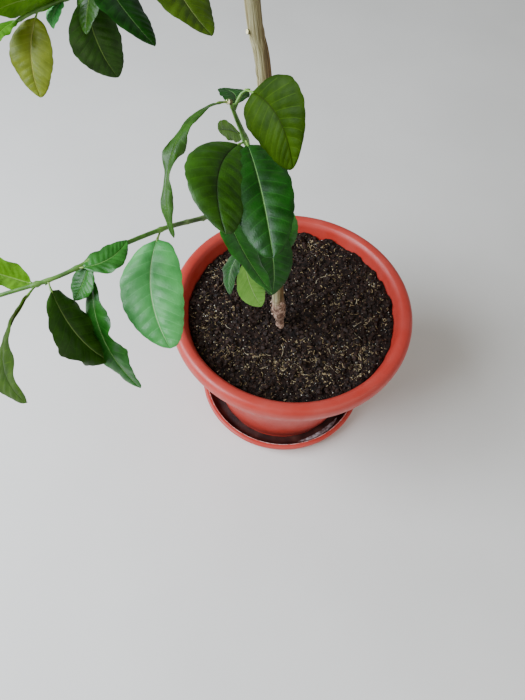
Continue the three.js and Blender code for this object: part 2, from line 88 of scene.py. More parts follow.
def new_finish(name, roughness=0.5, ior=1.5):
    """A material with its node tree, its shader's own sockets, which hold what is the same all over
    the surface, and place, which leads the patterns over the piece."""
    material = bpy.data.materials.new(name)
    material.use_nodes = True
    tree = material.node_tree
    shader = tree.nodes["Principled BSDF"].inputs
    shader["Roughness"].default_value = roughness
    shader["IOR"].default_value = ior
    place = add_node(tree, "ShaderNodeTexCoord").outputs["Object"]
    return SimpleNamespace(material=material, tree=tree, shader=shader, place=place)


def mottle(finish, size, detail, stops):
    """Cloudy patches of about size millimetres, in a ramp's colours."""
    patches = add_node(finish.tree, "ShaderNodeTexNoise", {
        "Vector": finish.place, "Scale": 1 / (size * MM), "Detail": detail})
    add_node(finish.tree, "ShaderNodeValToRGB", {"Fac": patches.outputs["Fac"]},
             {"Color": finish.shader["Base Color"]}, stops=stops)


def vary_gloss(finish, place, size, detail, lowest, highest):
    """Duller and glossier patches of about size millimetres, between two values of roughness."""
    patches = add_node(finish.tree, "ShaderNodeTexNoise", {
        "Vector": place, "Scale": 1 / (size * MM), "Detail": detail})
    add_node(finish.tree, "ShaderNodeMapRange", {
        "Value": patches.outputs["Fac"], "From Min": 0.3, "From Max": 0.7,
        "To Min": lowest, "To Max": highest}, {"Result": finish.shader["Roughness"]})


def roughen(finish, place, size, detail, depth, strength=1):
    """A fine relief, with the size and depth of its grains in millimetres."""
    grains = add_node(finish.tree, "ShaderNodeTexNoise", {
        "Vector": place, "Scale": 1 / (size * MM), "Detail": detail})
    add_node(finish.tree, "ShaderNodeBump", {
        "Height": grains.outputs["Fac"], "Distance": depth * MM, "Strength": strength},
        {"Normal": finish.shader["Normal"]})


def moulded_plastic(name, roughness):
    """Polypropylene as it comes from the mould: satin, even in colour, a little duller and paler
    where dust and dried drops lie, with a fine grain that softens its reflections."""
    finish = new_finish(name, ior=1.49)
    mottle(finish, 45, 5, [(0.35, TERRACOTTA), (0.75, TERRACOTTA_DUSTY)])
    drawn_up = add_node(finish.tree, "ShaderNodeMapping", {"Vector": finish.place, "Scale": (1, 1, 0.35)})
    vary_gloss(finish, drawn_up.outputs["Vector"], 16, 4, roughness - 0.05, roughness + 0.11)
    # The mould's grain of about 0.3 mm is too fine to show, so it is drawn 1.2 mm coarse
    roughen(finish, finish.place, 1.2, 2, 0.05, 0.35)
    return finish.material


def rounded(outline, arc_steps=5):
    """An outline of (radius, height, rounding) with each corner turned into an arc of that rounding."""
    points = []
    for i, (x, z, rounding) in enumerate(outline):
        here = np.array([x, z], float)
        if rounding == 0:
            points.append(here)
            continue
        back = np.array(outline[i - 1][:2]) - here
        ahead = np.array(outline[i + 1][:2]) - here
        reach = min(rounding, 0.45 * np.linalg.norm(back), 0.45 * np.linalg.norm(ahead))
        start = here + back / np.linalg.norm(back) * reach
        end = here + ahead / np.linalg.norm(ahead) * reach
        for t in np.linspace(0, 1, arc_steps + 1):
            points.append((1 - t) ** 2 * start + 2 * t * (1 - t) * here + t * t * end)
    return np.array(points)


def quads(rows, columns, rows_closed=False, columns_closed=True):
    """Faces of a grid of points, row after row, whose last row or column may join its first."""
    return [
        (r * columns + k, r * columns + (k + 1) % columns,
         (r + 1) % rows * columns + (k + 1) % columns, (r + 1) % rows * columns + k)
        for r in range(rows if rows_closed else rows - 1)
        for k in range(columns if columns_closed else columns - 1)
    ]


def turned(outline, sides):
    """Points and faces of a turned piece, from an outline that starts and ends on the axis."""
    angles = 2 * np.pi * np.arange(sides) / sides
    inner = outline[1:-1]
    rings = np.stack([
        np.outer(inner[:, 0], np.cos(angles)), np.outer(inner[:, 0], np.sin(angles)),
        np.repeat(inner[:, 1:], sides, axis=1),
    ], -1).reshape(-1, 3)
    points = np.vstack([rings, [[0, 0, outline[0, 1]], [0, 0, outline[-1, 1]]]])
    faces = quads(len(inner), sides)
    last = len(rings) - sides
    for k in range(sides):
        after = (k + 1) % sides
        faces += [(len(rings), after, k), (len(rings) + 1, last + k, last + after)]
    return points, faces


def make_piece(name, points, faces, finishes, face_finish=None, crease=40):
    """A smooth-shaded mesh object. face_finish gives each face its place in finishes, and edges
    sharper than crease degrees stay sharp."""
    mesh = bpy.data.meshes.new(name)
    mesh.from_pydata((np.asarray(points, float) * MM).tolist(), [], faces)
    for finish in finishes:
        mesh.materials.append(finish)
    if face_finish is not None:
        mesh.polygons.foreach_set("material_index", np.asarray(face_finish, np.int32))
    mesh.polygons.foreach_set("use_smooth", np.ones(len(mesh.polygons), bool))
    mesh.set_sharp_from_angle(angle=math.radians(crease))
    mesh.update()
    piece = bpy.data.objects.new(name, mesh)
    bpy.context.scene.collection.objects.link(piece)
    return piece


saucer = make_piece("saucer_dish", *turned(rounded(SAUCER_OUTER + SAUCER_INNER), 224),
                    [moulded_plastic("satin moulded polypropylene, saucer", 0.42)])
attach(saucer, "root")
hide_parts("saucer")


# Residue and a painted highlight in the saucer
# Water has left a dark film of fine soil on the dish's floor and wall round the pot, and a grey crust at
# the right: both are thin dried coats. A pale line along the lip's inner edge is a painted highlight,
# laid as a thin coat too.

FILM_RADII = (129, 134, 139, 143, 146.5, 149.5, 152, 153.8, 155.2)
# Radii of the pale line along the lip's inner edge, which is a painted highlight
LIP_HIGHLIGHT_RADII = (156.3, 156.7, 157.1, 157.5)
CRUST_RADII = (140, 142, 144, 146.5, 149.5)
CRUST_ARC = (4.93, 5.62)
COAT_SUNK = 0.15
FILM_SHADES = [(0.36, "#260D0A"), (0.5, "#391914"), (0.7, "#59332C")]
# Colours of the painted highlight along the lip
LIP_HIGHLIGHT_SHADES = [(0.35, "#B06A5C"), (0.5, "#CDA298"), (0.66, "#E2D2CB")]
CRUST_SHADES = [(0.36, "#64453F"), (0.5, "#948280"), (0.64, "#C6BAB8")]


def ripple(seed, count, lowest, highest):
    """A repeatable wavy rule round the axis, from about -1 to 1: a function of the angle."""
    chance = np.random.default_rng(seed)
    turns = chance.integers(lowest, highest, count)
    offsets = chance.uniform(0, 2 * np.pi, count)
    weights = 1 / np.sqrt(np.arange(1, count + 1))
    return lambda angle: sum(
        w * np.sin(n * angle + o) for w, n, o in zip(weights, turns, offsets)) / weights.sum()


def coat(radii, thickness, edge, spread, arc=None, sides=240):
    """A thin closed band that lies on the saucer's inside, wavy at both edges: a full ring, or an arc
    between two angles that narrows to its ends."""
    profile = rounded([(*SAUCER_OUTER[-1][:2], 0)] + SAUCER_INNER)[::-1]
    angles = np.linspace(*arc, sides) if arc else 2 * np.pi * np.arange(sides) / sides
    radii = np.array(radii, float)[:, None]
    if arc:
        narrow = np.sin(np.linspace(0, np.pi, sides)) ** 0.6
        radii = radii.mean() + (radii - radii.mean()) * np.maximum(narrow, 0.04)
    radius = radii + np.linspace(-1, 1, len(radii))[:, None] * spread * edge(angles)
    height = np.interp(radius, profile[:, 0], profile[:, 1])
    slope = (np.interp(radius + 0.2, profile[:, 0], profile[:, 1]) - height) / 0.2
    lean = np.stack([-slope, np.ones_like(slope)]) / np.sqrt(1 + slope ** 2)
    sheets = []
    for lift in (-COAT_SUNK, thickness):
        r = radius + lean[0] * lift
        sheets.append(np.stack([r * np.cos(angles), r * np.sin(angles), height + lean[1] * lift], -1))
    loop = np.concatenate([sheets[0], sheets[1][::-1]])
    faces = quads(len(loop), sides, rows_closed=True, columns_closed=not arc)
    if arc:
        first_end = range(0, len(loop) * sides, sides)
        faces += [tuple(reversed(first_end)), tuple(v + sides - 1 for v in first_end)]
    return loop.reshape(-1, 3), faces


def matt_coat(name, shades, cloud, roughness):
    """What dried water leaves, and the painted highlight along the lip: matt and thin, with darker and
    paler patches and a fine crust.
    """
    finish = new_finish(name, roughness)
    mottle(finish, cloud, 7, shades)
    roughen(finish, finish.place, 1.5, 4, 0.3, 0.8)
    return finish.material


saucer_coats = [
    make_piece("saucer_film", *coat(FILM_RADII, 0.35, ripple(3, 9, 2, 24), 0.9),
               [matt_coat("dried film of fine soil", FILM_SHADES, 30, 0.42)]),
    # A thin pale coat that paints the highlight along the lip's inner edge
    make_piece("saucer_lip_highlight", *coat(LIP_HIGHLIGHT_RADII, 0.2, ripple(4, 9, 3, 40), 0.3),
               [matt_coat("painted highlight along the lip", LIP_HIGHLIGHT_SHADES, 6, 0.8)]),
    make_piece("saucer_crust", *coat(CRUST_RADII, 0.6, ripple(6, 9, 20, 90), 0.5, CRUST_ARC),
               [matt_coat("grey crust of lime", CRUST_SHADES, 8, 0.85)]),
]
for piece in saucer_coats:
    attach(piece, "root")
    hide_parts("saucer")


# Pot
# A tapered pot of the same polypropylene, moulded in one piece: a ring foot, a 3 mm wall, and a rim
# that rolls over into a skirt hanging clear of the wall.

POT_HEIGHT = 292
POT_WALL = 3
POT_FOOT_RADIUS = 128.5
POT_FOOT = SAUCER_FLOOR + 0.3
INNER_TOP_RADIUS = 183
RIM_RADIUS = 207.7


def inner_pot_radius(z):
    """Radius of the inside of the wall at a height."""
    slope = (INNER_TOP_RADIUS + POT_WALL - POT_FOOT_RADIUS) / (POT_HEIGHT - POT_FOOT)
    return POT_FOOT_RADIUS - POT_WALL + slope * (z - POT_FOOT)


def outer_pot(below_top, rounding):
    """A point of the outside of the wall."""
    z = POT_HEIGHT - below_top
    return inner_pot_radius(z) + POT_WALL, z, rounding


def rim_point(inset, below_top, rounding):
    """A point of the rim, inset from its widest radius."""
    return RIM_RADIUS - inset, POT_HEIGHT - below_top, rounding


POT_OUTLINE = [
    (0, POT_FOOT + 3, 0), (111.5, POT_FOOT + 3, 1), (114.5, POT_FOOT, 1), (127, POT_FOOT, 1.5),
    (129.2, POT_FOOT + 3, 2), outer_pot(46, 2), outer_pot(40, 1), outer_pot(12, 2),
    (inner_pot_radius(280) + 7, POT_HEIGHT - 7, 2), rim_point(12, 7, 3), rim_point(3.2, 15, 5),
    rim_point(6.4, 32, 0.6), rim_point(4, 32, 0.8), rim_point(1, 26, 4), rim_point(0, 15, 8),
    rim_point(1.6, 6.5, 6), rim_point(7, 0.9, 6), rim_point(14, 0, 6), rim_point(20, 1.6, 4),
    (INNER_TOP_RADIUS, POT_HEIGHT - 8, 6), (inner_pot_radius(8.9), 8.9, 3), (0, 8.9, 0),
]

pot = make_piece("pot_shell", *turned(rounded(POT_OUTLINE, 6), 256),
                 [moulded_plastic("satin moulded polypropylene, pot", 0.4)])
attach(pot, "root")
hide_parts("pot")


# Soil
# Dark peaty potting mix, loose and lumpy, hollowed a little round the trunk. Crumbs, bark chips,
# pale coconut fibre and grains of perlite lie on it, thickest in drifts near the wall.

SOIL_LEVEL = 264
SOIL_RISE = (0.016, 0.022)
SOIL_PATCH = 262
TRUNK_FOOT = (-19, -26)
HOLLOW_SPREAD = 45
BUMP_HEIGHT = 3.2
BED_DEPTH = 40
BED_GAP = 0.4
BARE_ROUND_TRUNK = 9
SOIL_SIDES = 300
SOIL_RINGS = 90
# Where the pale litter has gathered, as x, y and reach
DRIFTS = [
    (-131, -5, 22), (-142, -50, 17), (-100, -84, 18), (-62, -96, 16), (-22, -104, 22), (14, -126, 20),
    (56, -100, 26), (98, -112, 28), (127, -84, 16), (97, 25, 18), (146, -24, 14), (44, 142, 24),
    (72, 76, 15), (-120, 90, 26), (-40, 150, 26), (150, 60, 16),
]


def soil_height(x, y):
    """The broad shape of the surface: the source's level, rise and lumps, and the hollow."""
    lumps = np.sin(x / 23 + 1.3) * np.sin(y / 19 + 0.4) + np.sin(x / 11 - y / 13)
    level = SOIL_LEVEL + SOIL_RISE[0] * x + SOIL_RISE[1] * y + 1.6 * lumps
    away = np.hypot(x - TRUNK_FOOT[0], y - TRUNK_FOOT[1]) / HOLLOW_SPREAD
    return level + (SOIL_PATCH - level) * np.exp(-away ** 2)


def bumpy(seed, count, finest, coarsest):
    """A repeatable bumpy rule over a plane, from about -1 to 1, with bumps between two sizes."""
    chance = np.random.default_rng(seed)
    sizes = finest * (coarsest / finest) ** chance.uniform(0, 1, count)
    headings = chance.uniform(0, 2 * np.pi, count)
    offsets = chance.uniform(0, 2 * np.pi, count)
    weights = sizes ** 0.7

    def height(x, y):
        total = np.zeros_like(x)
        for size, angle, offset, weight in zip(sizes, headings, offsets, weights):
            total += weight * np.sin((x * np.cos(angle) + y * np.sin(angle)) * np.pi / size + offset)
        return total / np.sqrt((weights ** 2).sum() / 2) / 2
    return height


soil_bumps = bumpy(21, 60, 2.5, 22)


def soil_surface(x, y):
    """The height of the bumpy surface, which the bed has and the loose litter lies on."""
    return soil_height(x, y) + BUMP_HEIGHT * soil_bumps(x, y)


def soil_drifts(x, y):
    """How thickly the light litter lies, from 0 to 1: it has washed away from the trunk."""
    thick = sum(np.exp(-((x - at_x) ** 2 + (y - at_y) ** 2) / reach ** 2) for at_x, at_y, reach in DRIFTS)
    return np.clip(thick * (0.8 + 1.1 * soil_bumps(x * 0.7, y * 0.7)), 0, 1)


def soil_bed():
    """The bed in rings from the trunk's foot out to the wall, then down to a level base."""
    angles = 2 * np.pi * np.arange(SOIL_SIDES) / SOIL_SIDES
    reach = inner_pot_radius(SOIL_LEVEL) - BED_GAP
    rings = []
    for share in np.linspace(0.02, 1, SOIL_RINGS) ** 0.8:
        x = TRUNK_FOOT[0] * (1 - share) + reach * share * np.cos(angles)
        y = TRUNK_FOOT[1] * (1 - share) + reach * share * np.sin(angles)
        rings.append(np.stack([x, y, soil_surface(x, y)], -1))
    edge = inner_pot_radius(rings[-1][:, 2]) - 0.3
    rings[-1][:, 0], rings[-1][:, 1] = edge * np.cos(angles), edge * np.sin(angles)
    depth = SOIL_LEVEL - BED_DEPTH
    base = inner_pot_radius(depth) - BED_GAP
    rings.append(np.stack([base * np.cos(angles), base * np.sin(angles), np.full(SOIL_SIDES, depth)], -1))
    points = np.vstack(rings)
    faces = [(a, d, c, b) for a, b, c, d in quads(len(rings), SOIL_SIDES)]
    faces.append(tuple(range(SOIL_SIDES)))
    faces.append(tuple(reversed(range(len(points) - SOIL_SIDES, len(points)))))
    return points, faces


def lerp(low, high, share):
    """The value a share of the way from one to another."""
    return low + (high - low) * share


def scatter(seed, count, edge, drift):
    """Places on the soil, from even where drift is 0 to gathered in the drifts where it is 1."""
    chance = np.random.default_rng(seed)
    places = np.empty((0, 2))
    limit = inner_pot_radius(SOIL_LEVEL) - edge
    while len(places) < count:
        more = chance.uniform(-limit, limit, (count * 3, 2))
        inside = np.hypot(more[:, 0], more[:, 1]) < limit
        from_trunk = np.hypot(more[:, 0] - TRUNK_FOOT[0], more[:, 1] - TRUNK_FOOT[1])
        chosen = chance.uniform(0, 1, len(more)) < lerp(1, 0.06 + soil_drifts(*more.T), drift)
        places = np.vstack([places, more[inside & (from_trunk > BARE_ROUND_TRUNK) & chosen]])
    return places[:count], chance


def join(parts):
    """Several (points, faces) as one."""
    points, faces, count = [], [], 0
    for some_points, some_faces in parts:
        points.append(some_points)
        faces += [tuple(v + count for v in face) for face in some_faces]
        count += len(some_points)
    return np.vstack(points), faces


# A rough lump is a cube's eight corners and the raised middles of its sides
LUMP_SIDES = ((8, (4, 6, 7, 5)), (9, (2, 3, 7, 6)), (10, (1, 5, 7, 3)),
              (11, (0, 1, 3, 2)), (12, (0, 4, 5, 1)), (13, (0, 2, 6, 4)))
LUMP_FACES = [
    (corner, after, middle) for middle, loop in LUMP_SIDES for corner, after in zip(loop, loop[1:] + loop[:1])
]
LUMP_CORNERS = np.array([(x, y, z) for x in (-1, 1) for y in (-1, 1) for z in (-1, 1)], float) * 0.6
LUMP_POINTS = np.vstack([LUMP_CORNERS, np.eye(3), -np.eye(3)])


def lumps(seed, count, sizes, squash, drift, sunk, slim=1):
    """Many rough lumps or, where slim is small, shards lying on the soil as one mesh."""
    places, chance = scatter(seed, count, 3, drift)
    parts = []
    for (x, y), z in zip(places, soil_surface(*places.T)):
        size = sizes[0] * (sizes[1] / sizes[0]) ** (chance.uniform() ** 1.6)
        turn, _ = np.linalg.qr(chance.normal(size=(3, 3)))
        turn *= np.sign(np.linalg.det(turn))
        uneven = chance.uniform(0.65, 1.25, (len(LUMP_POINTS), 1))
        shape = (LUMP_POINTS * uneven * (1, slim, slim) * size / 2) @ turn * (1, 1, squash)
        parts.append((shape + (x, y, z + size * (0.5 - sunk) * squash), LUMP_FACES))
    return join(parts)


# A fibre is three edges of five points each, closed at both ends. The most that it bends is in
# radians, and the most that it arches and its height off the soil are in millimetres.
FIBRE_BEND, FIBRE_ARCH, FIBRE_LIFT = 1.6, 1.6, 0.7
FIBRE_FACES = quads(3, 5, rows_closed=True, columns_closed=False) + [(0, 5, 10), (14, 9, 4)]


def fibres(seed, count, lengths, thickness, drift):
    """Short bent three-sided fibres lying on the soil as one mesh. Each is four straight steps that
    turn to one side, with its middle arched off the soil."""
    places, chance = scatter(seed, count, 4 + lengths[1] / 2, drift)
    parts = []
    for place in places:
        step = chance.uniform(*lengths) / 4
        turn = chance.uniform(0, 2 * np.pi) + chance.uniform(-1, 1) * FIBRE_BEND * np.linspace(-0.5, 0.5, 4)
        steps = np.stack([np.cos(turn), np.sin(turn)], -1) * step
        line = np.vstack([[0, 0], np.cumsum(steps, axis=0)])
        line += place - line.mean(axis=0)
        arch = chance.uniform(0, 1) * FIBRE_ARCH * np.array([0, 0.7, 1, 0.7, 0])
        z = soil_surface(*line.T) + FIBRE_LIFT + arch
        half = thickness * chance.uniform(0.6, 1.3) / 2
        along = np.gradient(line, axis=0)
        sideways = np.stack([-along[:, 1], along[:, 0]], -1) / np.linalg.norm(along, axis=1)[:, None]
        edges = [np.column_stack([line - sideways * side * half, z + lift * half])
                 for lift, side in ((-0.6, -1), (-0.6, 1), (1, 0))]
        parts.append((np.vstack(edges), FIBRE_FACES))
    return join(parts)


def crumbly(name, shades, crumb, roughness=0.95):
    """Peat, bark or perlite broken small: hardly any gloss, rough, and patchy at the size of its
    crumbs."""
    finish = new_finish(name, roughness, 1.3)
    mottle(finish, crumb, 8, [(0.38, shades[0]), (0.64, shades[1])])
    roughen(finish, finish.place, crumb / 3, 5, 1.2)
    return finish.material


# Lumps are told by seed, count, range of sizes, flatness, share in the drifts, share sunk and
# slimness, and fibres by seed, count, range of lengths, thickness and share in the drifts
soil_pieces = [
    make_piece("soil_bed", *soil_bed(), [crumbly("moist peat mix", ("#0B0604", "#251710"), 7)]),
    make_piece("soil_crumbs", *lumps(31, 4800, (1.6, 9.5), 0.75, 0, 0.25),
               [crumbly("moist peat crumbs", ("#0F0906", "#35231A"), 4, 0.55)]),
    make_piece("soil_bark_chips", *lumps(32, 900, (2.0, 7.0), 0.4, 0.3, 0.1, 0.6),
               [crumbly("brown bark chips", ("#2A1B12", "#5A4030"), 5, 0.8)]),
    make_piece("soil_fibres", *fibres(33, 700, (2.5, 8), 0.9, 0.9),
               [crumbly("dry coconut fibre", ("#6A5638", "#A58F68"), 6, 0.8)], crease=80),
    make_piece("soil_long_fibres", *fibres(35, 40, (14, 30), 0.8, 0.7),
               [crumbly("pale root hairs", ("#8A7A5E", "#B9AC90"), 6, 0.8)], crease=80),
    make_piece("soil_husks", *lumps(36, 1700, (1.8, 6.0), 0.5, 0.97, 0.05, 0.42),
               [crumbly("broken straw and husk", ("#54452E", "#AC9A76"), 4, 0.8)]),
    make_piece("soil_grains", *lumps(34, 700, (0.9, 2.8), 0.8, 0.85, 0.05, 0.8),
               [crumbly("perlite grains", ("#8E887A", "#D2CCBE"), 3, 0.7)]),
]
for piece in soil_pieces:
    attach(piece, "root")
    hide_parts("soil")


# Trunk
# One straight young stem, grafted low down. Its bark is thin and grey-green with fine lengthwise
# ridges and old buds. Below the graft it turns to a narrow pinkish neck in the soil.

TRUNK_PATH = [
    (-24, -24, 300), (-33, -22, 390), (-44, -19, 500), (-64, -10, 700), (-78, -8, 775),
    (-98, -2, 1000), (-104, 6, 1180),
]
TRUNK_TIP = 4.4
TRUNK_TAPER = ((345, 790, 1180), (9.4, 7.4, TRUNK_TIP))
GRAFT_Z, GRAFT_SWELL, GRAFT_SPREAD = 306, 1.6, 17
NECK_Z, NECK_WAIST, NECK_SPREAD = 272, 4, 11
TURN = 137.5
OLD_BUDS = range(338, 1170, 37)
RIDGES, RIDGE_HEIGHT = 46, 0.0413
TRUNK_SIDES, TRUNK_RINGS = 96, 460
TRUNK_LEAN = (-0.031, -0.104, 0)
STREAK_LENGTH = 26
# An old bud's height and spread, and the depth, distance and spread of the groove round it
OLD_BUD, OLD_BUD_GROOVE = (0.6, 3.2), (0.25, 5.5, 1.5)
KHAKI_SHADES = [(0.32, "#5E4C2C"), (0.5, "#857C54"), (0.68, "#A8A27E")]
# Browns of the painted shade on the trunk's side away from the window
SHADE_SIDE_BROWNS = [(0.32, "#301D0A"), (0.5, "#583F1E"), (0.68, "#80673A")]
NECK_SHADES = [(0.36, "#5E4336"), (0.5, "#8E6C5A"), (0.64, "#B79C86")]


class Path:
    """A smooth curve through points, the same one that the source's solids follow."""

    def __init__(self, points):
        self.points = np.asarray(points, float)

    def at(self, t):
        """The point at t, which runs from 0 to 1."""
        p = self.points
        i = int(math.floor((len(p) - 1) * t))
        w = (len(p) - 1) * t - i
        if i >= len(p) - 1:
            i, w = len(p) - 2, 1.0
        b, c = p[i], p[i + 1]
        before = p[i - 1] if i > 0 else 2 * b - c
        after = p[i + 2] if i + 2 < len(p) else 2 * c - b
        m, n = (c - before) / 2, (after - b) / 2
        return b + m * w + (3 * (c - b) - 2 * m - n) * w ** 2 + (2 * (b - c) + m + n) * w ** 3

    def ahead(self, t):
        """The direction at t."""
        step = self.at(min(t + 0.01, 1)) - self.at(max(t - 0.01, 0))
        return step / np.linalg.norm(step)

    def line(self, start, end, count):
        """Evenly stepped points of a stretch."""
        return np.array([self.at(t) for t in np.linspace(start, end, count)])

    def length(self):
        return np.linalg.norm(np.diff(self.line(0, 1, 201), axis=0), axis=1).sum()


trunk_path = Path([(*TRUNK_FOOT, SOIL_PATCH + 0.3)] + TRUNK_PATH)
trunk_line = Path([(*TRUNK_FOOT, SOIL_PATCH - 8)] + TRUNK_PATH).line(0, 1, TRUNK_RINGS)


def trunk_radius(z):
    """The trunk's true taper with the graft's swelling and the neck under it."""
    swell = GRAFT_SWELL * np.exp(-((z - GRAFT_Z) / GRAFT_SPREAD) ** 2)
    return np.interp(z, *TRUNK_TAPER) + swell - NECK_WAIST * np.exp(-((z - NECK_Z) / NECK_SPREAD) ** 2)


def across(direction):
    """A level direction square to another."""
    side = np.cross(direction, (0, 0, 1))
    length = np.linalg.norm(side)
    return side / length if length > 0.05 else np.array([1.0, 0, 0])


def tube(line, radii, sides):
    """Points and faces of a closed limb. radii is one number a ring, or one for each point."""
    line = np.asarray(line, float)
    aheads = np.gradient(line, axis=0)
    aheads /= np.linalg.norm(aheads, axis=1)[:, None]
    side = [across(aheads[0])]
    for ahead in aheads[1:]:
        level = side[-1] - ahead * side[-1].dot(ahead)
        side.append(level / np.linalg.norm(level))
    side = np.array(side)[:, None]
    other = np.cross(aheads, side[:, 0])[:, None]
    angles = 2 * np.pi * np.arange(sides) / sides
    radii = np.asarray(radii, float)
    if radii.ndim == 1:
        radii = np.repeat(radii[:, None], sides, axis=1)
    around = side * np.cos(angles)[None, :, None] + other * np.sin(angles)[None, :, None]
    rings = line[:, None] + radii[..., None] * around
    last = (len(line) - 1) * sides
    caps = [tuple(reversed(range(sides))), tuple(range(last, last + sides))]
    return rings.reshape(-1, 3), quads(len(line), sides) + caps


def turned_away(angles, degrees):
    """How far each angle lies from a direction, in radians from minus to plus half a turn."""
    return (np.radians(degrees) - angles + np.pi) % (2 * np.pi) - np.pi


def trunk_relief(z, angle):
    """Height of the bark over the trunk's taper: lengthwise ridges, old buds and the graft's knobs."""
    chance = np.random.default_rng(41)
    relief = np.zeros_like(z)
    for _ in range(RIDGES):
        turns = int(chance.integers(5, 44))
        twist, offset, pace, share = chance.uniform((-0.006, 0, 30, 0.3), (0.006, 6.28, 90, 1))
        relief += share * np.sin(turns * angle + twist * z * turns / 6 + offset + 0.7 * np.sin(z / pace))
    relief *= RIDGE_HEIGHT
    bump, spread = OLD_BUD
    depth, away, width = OLD_BUD_GROOVE
    for n, bud_z in enumerate(OLD_BUDS):
        distance = np.hypot(turned_away(angle, TURN * n + 200) * 8, (z - bud_z) * 0.8)
        relief += bump * np.exp(-(distance / spread) ** 2) - depth * np.exp(-((distance - away) / width) ** 2)
    knobby = np.exp(-((z - GRAFT_Z - 2) / 15) ** 2)
    return relief + knobby * (0.9 * np.sin(3 * angle + z / 9) + 0.6 * np.sin(5 * angle - z / 5 + 1))


def trunk_mesh():
    """The trunk, whose relief is softer toward its tip."""
    angles = 2 * np.pi * np.arange(TRUNK_SIDES) / TRUNK_SIDES
    z, angle = np.meshgrid(trunk_line[:, 2], angles, indexing="ij")
    fading = np.clip((1190 - z) / 300, 0.35, 1)
    return tube(trunk_line, trunk_radius(z) + trunk_relief(z, angle) * fading, TRUNK_SIDES)


def thin_bark():
    """Smooth young citrus bark: matt, khaki streaked with green, with painted shade that turns it browner
    on the side away from the window, and pinkish and peeling at the foot. Its streaks are 2 mm wide and
    run along the stem, which leans a little."""
    finish = new_finish("young grey-green bark", roughness=0.8)
    tree, place = finish.tree, finish.place
    leaning = add_node(tree, "ShaderNodeMapping", {
        "Vector": place, "Rotation": TRUNK_LEAN, "Scale": (1, 1, STREAK_LENGTH)},
        vector_type="TEXTURE").outputs["Vector"]
    colours = []
    for vector, size, detail, shades in (
            (leaning, 2, 5, KHAKI_SHADES), (leaning, 2, 5, SHADE_SIDE_BROWNS), (place, 4, 6, NECK_SHADES)):
        streaks = add_node(tree, "ShaderNodeTexNoise", {
            "Vector": vector, "Scale": 1 / (size * MM), "Detail": detail})
        ramp = add_node(tree, "ShaderNodeValToRGB", {"Fac": streaks.outputs["Fac"]}, stops=shades)
        colours.append(ramp.outputs["Color"])
    shares = []
    # The first share is painted shade: brown toward +x, on the side away from the window. The second turns
    # the foot to the neck's colours.
    for vector, axis, start, end in ((leaning, "X", 6, 15), (place, "Z", 345, 315)):
        along = add_node(tree, "ShaderNodeSeparateXYZ", {"Vector": vector}).outputs[axis]
        shares.append(add_node(tree, "ShaderNodeMapRange", {
            "Value": along, "From Min": start * MM, "From Max": end * MM}).outputs["Result"])
    upper = add_node(tree, "ShaderNodeMix", {0: shares[0], 6: colours[0], 7: colours[1]}, data_type="RGBA")
    add_node(tree, "ShaderNodeMix", {0: shares[1], 6: upper.outputs[2], 7: colours[2]},
             {2: finish.shader["Base Color"]}, data_type="RGBA")
    roughen(finish, leaning, 1.2, 6, 0.5, 0.8)
    return finish.material


trunk = make_piece("trunk_bark", *trunk_mesh(), [thin_bark()], crease=70)
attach(trunk, "root")
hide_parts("trunk")


# Peeling bark at the graft
# Where the graft has healed, the old bark lifts off in thin pale papery scales, each still held at
# one end.

FLAKE_COUNT = 34
FLAKE_LOW, FLAKE_HIGH = 268, 334
FLAKE_GRID = (6, 5)
FLAKE_THICKNESS = 0.44
FLAKE_HEIGHTS, FLAKE_WIDTHS, FLAKE_LIFTS = (4, 11), (2.5, 6), (0.5, 2.4)


def flakes():
    """Thin curved plates on the trunk, each lifting away from it toward its free end."""
    chance = np.random.default_rng(43)
    v, u = np.meshgrid(*[np.linspace(start, 1, n) for start, n in zip((0, -1), FLAKE_GRID)], indexing="ij")
    order = np.arange(v.size).reshape(v.shape)
    border = np.concatenate([order[0, :-1], order[:-1, -1], order[-1, :0:-1], order[:0:-1, 0]]).tolist()
    sheet = quads(*FLAKE_GRID, columns_closed=False)
    faces = [face[::-1] for face in sheet] + [tuple(p + v.size for p in face) for face in sheet]
    faces += [(a, b, b + v.size, a + v.size) for a, b in zip(border, border[1:] + border[:1])]
    parts = []
    for n in range(FLAKE_COUNT):
        z, angle = chance.uniform(FLAKE_LOW, FLAKE_HIGH), chance.uniform(0, 2 * np.pi)
        height, width = chance.uniform(*FLAKE_HEIGHTS), chance.uniform(*FLAKE_WIDTHS)
        lift, way = chance.uniform(*FLAKE_LIFTS), chance.choice((-1, 1))
        here = z + way * height * (v - 0.5)
        radius = trunk_radius(here) + 0.5 + lift * v ** 2
        around = angle + way * u * width / 2 / radius * (1 - 0.5 * v ** 2) + 0.1 * np.sin(v * 5 + n)
        x, y = [np.interp(here, trunk_line[:, 2], trunk_line[:, axis]) for axis in (0, 1)]
        sides = [radius - FLAKE_THICKNESS / 2, radius + FLAKE_THICKNESS / 2]
        points = [np.stack([x + r * np.cos(around), y + r * np.sin(around), here], -1) for r in sides]
        parts.append((np.concatenate(points).reshape(-1, 3), faces))
    return join(parts)


def papery_bark():
    """Dead outer bark, dry and thin as paper: matt, pale pinkish buff, with fine fibres along it."""
    finish = new_finish("peeling papery bark", roughness=0.85)
    mottle(finish, 5, 6, [(0.35, "#8A6654"), (0.52, "#B39480"), (0.68, "#D2BCA8")])
    along = add_node(finish.tree, "ShaderNodeMapping", {"Vector": finish.place, "Scale": (1, 1, 0.15)})
    roughen(finish, along.outputs["Vector"], 0.8, 3, 0.3)
    return finish.material


peeling = make_piece("graft_flakes", *flakes(), [papery_bark()], crease=60)
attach(peeling, "root")
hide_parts("trunk")


# Shoots
# The tree is a set of shoots, each one smooth curve: its first stretch is a bough, and past it the
# shoot goes on as the green stem of a mass of foliage. They grow here by the source's own rule.

UP = np.array([0, 0, 1.0])
WORD = 0xFFFFFFFF
